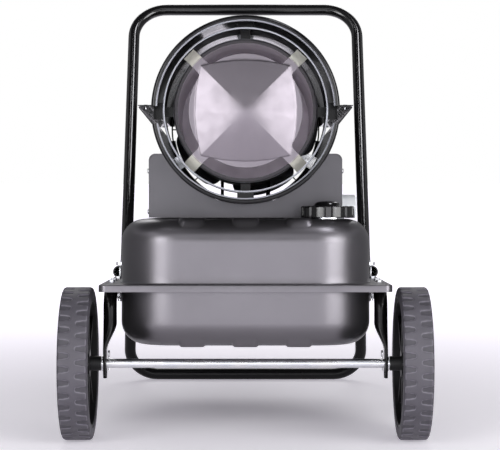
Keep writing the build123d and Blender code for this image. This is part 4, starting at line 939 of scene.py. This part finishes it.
class HEATER_OT_deflector(bpy.types.Operator):
    """Build the flame deflector: a disc with a pressed cross and four folded tabs"""

    bl_idname = "heater.deflector"
    bl_label = "Flame deflector"

    def facing_out(self, s, right, up, out):
        """Right, up and out of the barrel's mouth into the tank's frame."""
        return np.stack([right, s.station - out, BARREL_Z + up], axis=-1)

    def directions(self):
        """Angles round the disc, closer together at the four tabs and their round corners."""
        half = np.sort(np.concatenate([np.linspace(0, 12, 17), np.linspace(12, 45, 18)[1:], [5.711]]))
        quarter = np.concatenate([-half[:0:-1], half[:-1]])
        return np.radians((45 + 90 * np.arange(4))[:, None] + quarter).reshape(-1)

    def cross_edge(self, s, angle):
        """Radius of the bowed square, from r cos a = h + b (1 - (r sin a / h)^2), with a slight wave."""
        a = np.abs((angle + math.pi / 4) % (math.pi / 2) - math.pi / 4)
        c, k = np.cos(a), s.bulge * np.sin(a) ** 2 / s.pillow**2 + 1e-6
        radius = (-c + np.sqrt(c**2 + 4 * k * (s.pillow + s.bulge))) / (2 * k)
        return radius + 0.0004 * np.sin(19 * angle) * np.sin(7 * angle + 1) * np.cos(2 * angle) ** 2

    def flare(self, s, radius):
        """Round corner at a tab's root: f - sqrt(f^2 - d^2) at a distance d inside the corner's end."""
        fillet = 0.006
        near = np.clip(s.disc + fillet - radius, 0, fillet)
        return fillet - np.sqrt(fillet**2 - near**2)

    def blank_edge(self, s, angle):
        """Radius of the cut blank: the disc, let out to the folds over the tabs, r sin a = w + flare."""
        a = np.abs(angle % (math.pi / 2) - math.pi / 4)
        radius = np.linspace(s.disc, s.tab_fold, 90)
        side = np.arcsin((s.tab_half + self.flare(s, radius)) / radius)
        edge = np.interp(a, side[::-1], radius[::-1], left=1.0, right=s.disc)
        return np.minimum(edge, s.tab_fold / np.cos(a))

    def rings(self, s):
        """Radius and height of every ring: facets that fade into a round middle, a step, the flat."""
        angle = self.directions()
        edge, blank = self.cross_edge(s, angle), self.blank_edge(s, angle)
        soft, foot, middling, rows = 0.20, 0.0009, 0.083, []
        for share in np.linspace(0, 1, 64):
            round_share = share * edge / middling
            height = smooth_step(0.08, 0.55, share)
            level = round_share + (share - round_share) * height
            slope = (math.hypot(1, soft) - np.sqrt(level**2 + soft**2)) / (math.hypot(1, soft) - soft)
            rows.append((share * edge, foot + (s.rise - foot) * slope))
        for out, high in ((0.0007, 0.00062), (0.0014, 0.00024), (0.0022, 0.0)):
            rows.append((np.minimum(edge + out, blank - 0.0016 + out * 0.8), np.full_like(edge, high)))
        last = rows[-1][0]
        for share in (0.25, 0.5, 0.75, 0.94, 1.0):
            drop = 0.0004 if share == 1.0 else 0.0
            rows.append((last + (blank - last) * share, np.full_like(edge, -drop)))
        return angle, rows

    def disc(self, s):
        """The rings over the front, then the same rings back over the rear, one sheet lower."""
        angle, rings = self.rings(s)
        rim_back, behind, drawn_in = 0.0004, 0.00005, 0.97
        rows = [(r, SHEET + h) for r, h in rings] + [(rings[-1][0], rim_back + 0 * angle)]
        rows += [(r, behind + h * drawn_in) for r, h in rings[:-1][::-2] + [rings[0]]]
        grid = [self.facing_out(s, r * np.cos(angle), r * np.sin(angle), h) for r, h in rows]
        return np.stack(grid), False, True

    def tab(self, s, turn):
        """The folded end of a tab: a strip that bends at the fold and lies back to its end."""
        line = rounded_path(
            [(s.tab_fold - 0.003, 0.0), (s.tab_fold, 0.0), (s.tab_end, -s.tab_drop)], [0.004], 10
        )
        line = np.concatenate([line[:-1], np.linspace(line[-2], line[-1], 6)[1:]])
        side = normals(line)
        ring = [
            (-1, -0.5), (-0.97, 0.5), (-0.5, 0.5), (0, 0.5), (0.5, 0.5), (0.97, 0.5), (1, -0.5), (0, -0.5)
        ]
        ring = np.array(ring)
        wide = s.tab_half * np.ones(len(line))[:, None] * ring[None, :, 0]
        thick = SHEET * 0.98 * ring[None, :, 1]
        away = line[:, None, 0] + side[:, None, 0] * thick
        out = line[:, None, 1] + side[:, None, 1] * thick + SHEET / 2
        c, n = math.cos(turn), math.sin(turn)
        rows = self.facing_out(s, away * c - wide * n, away * n + wide * c, out)
        return capped(rows)

    def execute(self, context):
        s = context.scene.heater.deflector
        shells = [self.disc(s)] + [self.tab(s, math.radians(45 + 90 * k)) for k in range(4)]
        skin("deflector_skin", "flame_deflector", shells, "heat_steel", crease=32.0, look="deflector_steel")
        return {"FINISHED"}


class HEATER_OT_cap(bpy.types.Operator):
    """Build the lobed fuel cap"""

    bl_idname = "heater.cap"
    bl_label = "Fuel cap"

    def execute(self, context):
        s = context.scene.heater.cap
        neck_x, neck_y, base = 0.134, -0.005, 0.1072
        hollow, inside, edge = 0.029, 0.0138, 0.0022
        profile = [
            (0.0, inside, 0.0), (hollow, inside, 0.0), (hollow, 0.0, 0.0), (s.radius - 0.001, 0.0, 1.0)
        ]
        profile += [(s.radius, z, 1.0) for z in np.linspace(0.001, s.skirt - 0.0024, 5)]
        arc = quarter(7)[1:]
        profile += [
            (s.radius - edge * (1 - math.cos(a)), s.skirt - edge * (1 - math.sin(a)), 1.0 - 0.3 * a / 1.57)
            for a in arc
        ]
        profile += [
            (s.radius - 0.007, s.skirt + 0.0002, 0.3), (s.dome_radius + 0.004, s.skirt + 0.0002, 0.0)
        ]
        profile += [
            (s.dome_radius + 0.001, s.skirt + 0.0008, 0.0), (s.dome_radius - 0.001, s.skirt + 0.003, 0.0)
        ]
        dome = quarter(9)
        profile += [
            (
                (s.dome_radius - 0.0015) * math.cos(a),
                s.skirt + 0.0035 + (s.dome_height - 0.0035) * math.sin(a), 0.0
            )
            for a in dome
        ]
        radius, height, lobed = np.array(profile).T
        angle = circle(s.lobes * 24)
        share = np.abs(((angle * s.lobes / (2 * math.pi)) % 1.0) - 0.5)
        scoop = s.scoop * (1 - smooth_step(0.16, 0.24, share))
        out = radius[:, None] - lobed[:, None] * scoop[None, :]
        x = neck_x + out * np.cos(angle)
        y = neck_y + out * np.sin(angle)
        z = base + height[:, None] + np.zeros_like(x)
        shell = (np.stack([x, y, z], axis=-1), False, True)
        skin("fuel_cap_skin", "fuel_cap", [shell], "cap_black", "cap", 30.0)
        return {"FINISHED"}


class HEATER_OT_dress(bpy.types.Operator):
    """Give every carried-over frame node its finish"""

    bl_idname = "heater.dress"
    bl_label = "Finish the frame's own pieces"

    def execute(self, context):
        for name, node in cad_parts.items():
            for slot in node.material_slots:
                own = "bracket_black" if name.endswith("_brackets") else slot.material.name.split(".")[0]
                slot.material = finish(own)
        return {"FINISHED"}


class HEATER_OT_stage(bpy.types.Operator):
    """Set the floor, the cards, the soft boxes, the world and the camera"""

    bl_idname = "heater.stage"
    bl_label = "Studio"

    def sees(self, tree):
        """One for camera, glossy and transmission rays, else zero."""
        path = tree.nodes.new("ShaderNodeLightPath")
        total = path.outputs["Is Camera Ray"]
        for name in ("Is Glossy Ray", "Is Transmission Ray"):
            add = tree.nodes.new("ShaderNodeMath")
            add.operation = "MAXIMUM"
            tree.links.new(total, add.inputs[0])
            tree.links.new(path.outputs[name], add.inputs[1])
            total = add.outputs[0]
        return total

    def floor(self, s):
        """A wide floor that shows itself white to the camera and keeps the heater's shadow, with a painted
        shadow: its glow is faint near the heater and full from 2 m out.
        """
        bpy.ops.mesh.primitive_plane_add(size=18.0, location=(0, 0, 0))
        floor = bpy.context.object
        floor.name = "studio_floor"
        made = Finish("studio_floor")
        made.plain(Base_Color=(*s.floor, 1.0), Roughness=0.62, Specular_IOR_Level=0.2)
        made.plain(Emission_Color=(1.0, 0.955, 1.07, 1.0))
        # Painted shadow: the glow that camera and glossy rays see rises from 0.17 at the heater's middle to
        # 1.0 at 2 m.
        painted_shadow_fade = made.spread(
            made.vector("LENGTH", made.placed((0.0, 0.0, 0.0))), "Value", 0.17, 1.0, 0.05, 2.0
        )
        lift = made.add("Math")
        lift.operation = "MULTIPLY"
        made.link(painted_shadow_fade, "Result", lift, 0)
        made.tree.links.new(self.sees(made.tree), lift.inputs[1])
        made.link(lift, "Value", made.shader, "Emission Strength")
        made.grain([(made.noise(60.0), 0.0001)])
        floor.data.materials.append(made.material)

    def arc(self, azimuths, away):
        """Points on a circle round the heater, by azimuth from the front."""
        angle = np.radians(np.linspace(*azimuths, CARD_POINTS))
        return away * np.column_stack([np.sin(angle), -np.cos(angle)])

    def strip(self, name, first, second, tone):
        """A card between two equal rows of points."""
        faces = [(k, k + 1, k + 1 + CARD_POINTS, k + CARD_POINTS) for k in range(CARD_POINTS - 1)]
        mesh = bpy.data.meshes.new(name)
        mesh.from_pydata(np.concatenate([first, second]).tolist(), [], faces)
        self.hide(name, mesh, tone)

    def card(self, name, azimuths, low, high, away, tone):
        """Part of an upright cylinder round the heater, dark or bright by its tone."""
        ring = self.arc(azimuths, away)
        self.strip(name, at_height(ring, low), at_height(ring, high), tone)

    def apron(self, name, azimuths, inner, outer, tone):
        """Part of a flat ring just above the floor."""
        above = 0.004
        self.strip(name, *(at_height(self.arc(azimuths, away), above) for away in (inner, outer)), tone)

    def lid(self, name, middle, half, height, tone):
        """A square card overhead."""
        corners = np.array([(-1, -1), (1, -1), (1, 1), (-1, 1)]) * half + middle
        mesh = bpy.data.meshes.new(name)
        mesh.from_pydata(at_height(corners, height).tolist(), [], [(0, 1, 2, 3)])
        self.hide(name, mesh, tone)

    def hide(self, name, mesh, tone):
        """Finishes a card and keeps it from all but glossy rays."""
        card = add_object(name, mesh)
        material = bpy.data.materials.new(name)
        material.use_nodes = True
        tree = material.node_tree
        tree.nodes.clear()
        glow = tree.nodes.new("ShaderNodeEmission")
        glow.inputs["Color"].default_value = (tone, tone, tone * 1.04, 1.0)
        out = tree.nodes.new("ShaderNodeOutputMaterial")
        tree.links.new(glow.outputs[0], out.inputs[0])
        mesh.materials.append(material)
        for ray in ("camera", "diffuse", "transmission", "shadow", "volume_scatter"):
            setattr(card, f"visible_{ray}", False)

    def soft_box(self, name, azimuth, height, away, width, tall, watts, aim=0.36):
        """A rectangle of light at an azimuth from the front, aimed at the heater's middle."""
        angle = math.radians(azimuth)
        lamp = bpy.data.lights.new(name, "AREA")
        lamp.shape = "RECTANGLE"
        lamp.size, lamp.size_y, lamp.energy = width, tall, watts
        box = add_object(name, lamp)
        box.location = (away * math.sin(angle), -away * math.cos(angle), height)
        box.rotation_euler = (Vector((0, 0, aim)) - box.location).to_track_quat("-Z", "Y").to_euler()

    def glow(self, name, place, radius, watts):
        """A small round lamp: the light that the barrel's mouth lets into the chamber."""
        lamp = bpy.data.lights.new(name, "POINT")
        lamp.shadow_soft_size, lamp.energy = radius, watts
        add_object(name, lamp).location = place

    def world(self):
        world = bpy.data.worlds.new("studio_world")
        bpy.context.scene.world = world
        world.use_nodes = True
        tree = world.node_tree
        back = tree.nodes["Background"]
        mix = tree.nodes.new("ShaderNodeMix")
        mix.data_type = "RGBA"
        mix.inputs[6].default_value = (0.14, 0.14, 0.145, 1.0)
        mix.inputs[7].default_value = (1.0, 1.0, 1.0, 1.0)
        tree.links.new(self.sees(tree), mix.inputs[0])
        tree.links.new(mix.outputs[2], back.inputs["Color"])

    def camera(self, s):
        lens = bpy.data.cameras.new("photo_camera")
        lens.lens, lens.sensor_width = s.lens, 36.0
        lens.shift_x = s.shift
        view = add_object("photo_camera", lens)
        view.location = (0.0, ROW_SHIFT - s.distance, s.height)
        view.rotation_euler = (math.pi / 2 - s.pitch, 0.0, 0.0)
        bpy.context.scene.camera = view

    def execute(self, context):
        s = context.scene.heater.stage
        scene = context.scene
        scene.view_settings.view_transform = "Standard"
        self.world()
        self.floor(s)
        self.card("card_front", (-20, 20), -0.2, 1.40, 5.2, 2.5)
        self.card("card_front_high", (-18, 18), 3.1, 5.1, 5.3, 1.3)
        self.card("card_front_gap", (-20, 20), 1.40, 5.2, 5.6, 0.05)
        for side, name in ((-1, "left"), (1, "right")):
            self.card(f"card_{name}", (20 * side, 160 * side), -0.2, 5.2, 5.5, 0.27)
            self.apron(f"apron_{name}", (48 * side, 160 * side), 0.9, 5.5, 0.27)
            self.card(f"line_{name}", (60 * side, 125 * side), 3.0, 3.5, 5.0, 0.9)
            self.card(f"card_corner_{name}", (42 * side, 68 * side), 3.9, 5.1, 5.1, 2.6)
            self.card(f"hot_{name}", (31 * side, 33 * side), 0.5, 1.7, 3.0, 14.0)
        self.soft_box("soft_left", -30, 1.05, 3.2, 1.4, 1.7, 39.0, 0.7)
        self.soft_box("soft_right", 40, 1.05, 3.2, 2.0, 1.7, 64.0, 0.7)
        self.glow("soft_mouth", on_axis(0.03), 0.05, 0.16)
        self.card("card_rear", (160, 200), -0.2, 2.6, 5.5, 0.12)
        self.lid("card_above", (0.0, 0.0), 5.6, 5.2, 0.05)
        self.lid("hot_above_right", (1.6, -1.75), 0.55, 4.8, 15.0)
        self.lid("hot_above_left", (-1.3, -1.9), 0.2, 4.8, 12.0)
        for name, azimuth in (("left", -166), ("right", 166)):
            self.soft_box(f"soft_rear_{name}", azimuth, 2.3, 3.0, 1.2, 1.2, 12.0)
        self.camera(s)
        return {"FINISHED"}


class HEATER_PT_sidebar(bpy.types.Panel):
    """A button for every piece, and every group's values below"""

    bl_idname = "HEATER_PT_sidebar"
    bl_label = "Forced Air Heater"
    bl_space_type = "VIEW_3D"
    bl_region_type = "UI"
    bl_category = "Heater"

    def draw(self, context):
        for operator in OPERATORS:
            self.layout.operator(operator.bl_idname)
        settings = context.scene.heater
        for group in ("tank", "frames", "wheels", "barrel", "mouth", "deflector", "cap", "stage"):
            values = getattr(settings, group)
            box = self.layout.box()
            box.label(text=group.title())
            for name in values.__annotations__:
                box.prop(values, name)


OPERATORS = (
    HEATER_OT_stage, HEATER_OT_dress, HEATER_OT_tank, HEATER_OT_frames, HEATER_OT_tyres, HEATER_OT_barrel,
    HEATER_OT_mouth, HEATER_OT_deflector, HEATER_OT_cap,
)
GROUPS = (
    HeaterTank, HeaterFrame, HeaterWheels, HeaterBarrel, HeaterMouth, HeaterDeflector, HeaterCap,
    HeaterStage, HeaterSettings,
)


def register():
    for made in GROUPS + OPERATORS + (HEATER_PT_sidebar,):
        bpy.utils.register_class(made)
    bpy.types.Scene.heater = PointerProperty(type=HeaterSettings)


def unregister():
    del bpy.types.Scene.heater
    for made in reversed(GROUPS + OPERATORS + (HEATER_PT_sidebar,)):
        bpy.utils.unregister_class(made)


def main():
    """Registers the add-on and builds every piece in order."""
    register()
    for operator in OPERATORS:
        group, name = operator.bl_idname.split(".")
        getattr(getattr(bpy.ops, group), name)()


if __name__ == "__main__":
    main()
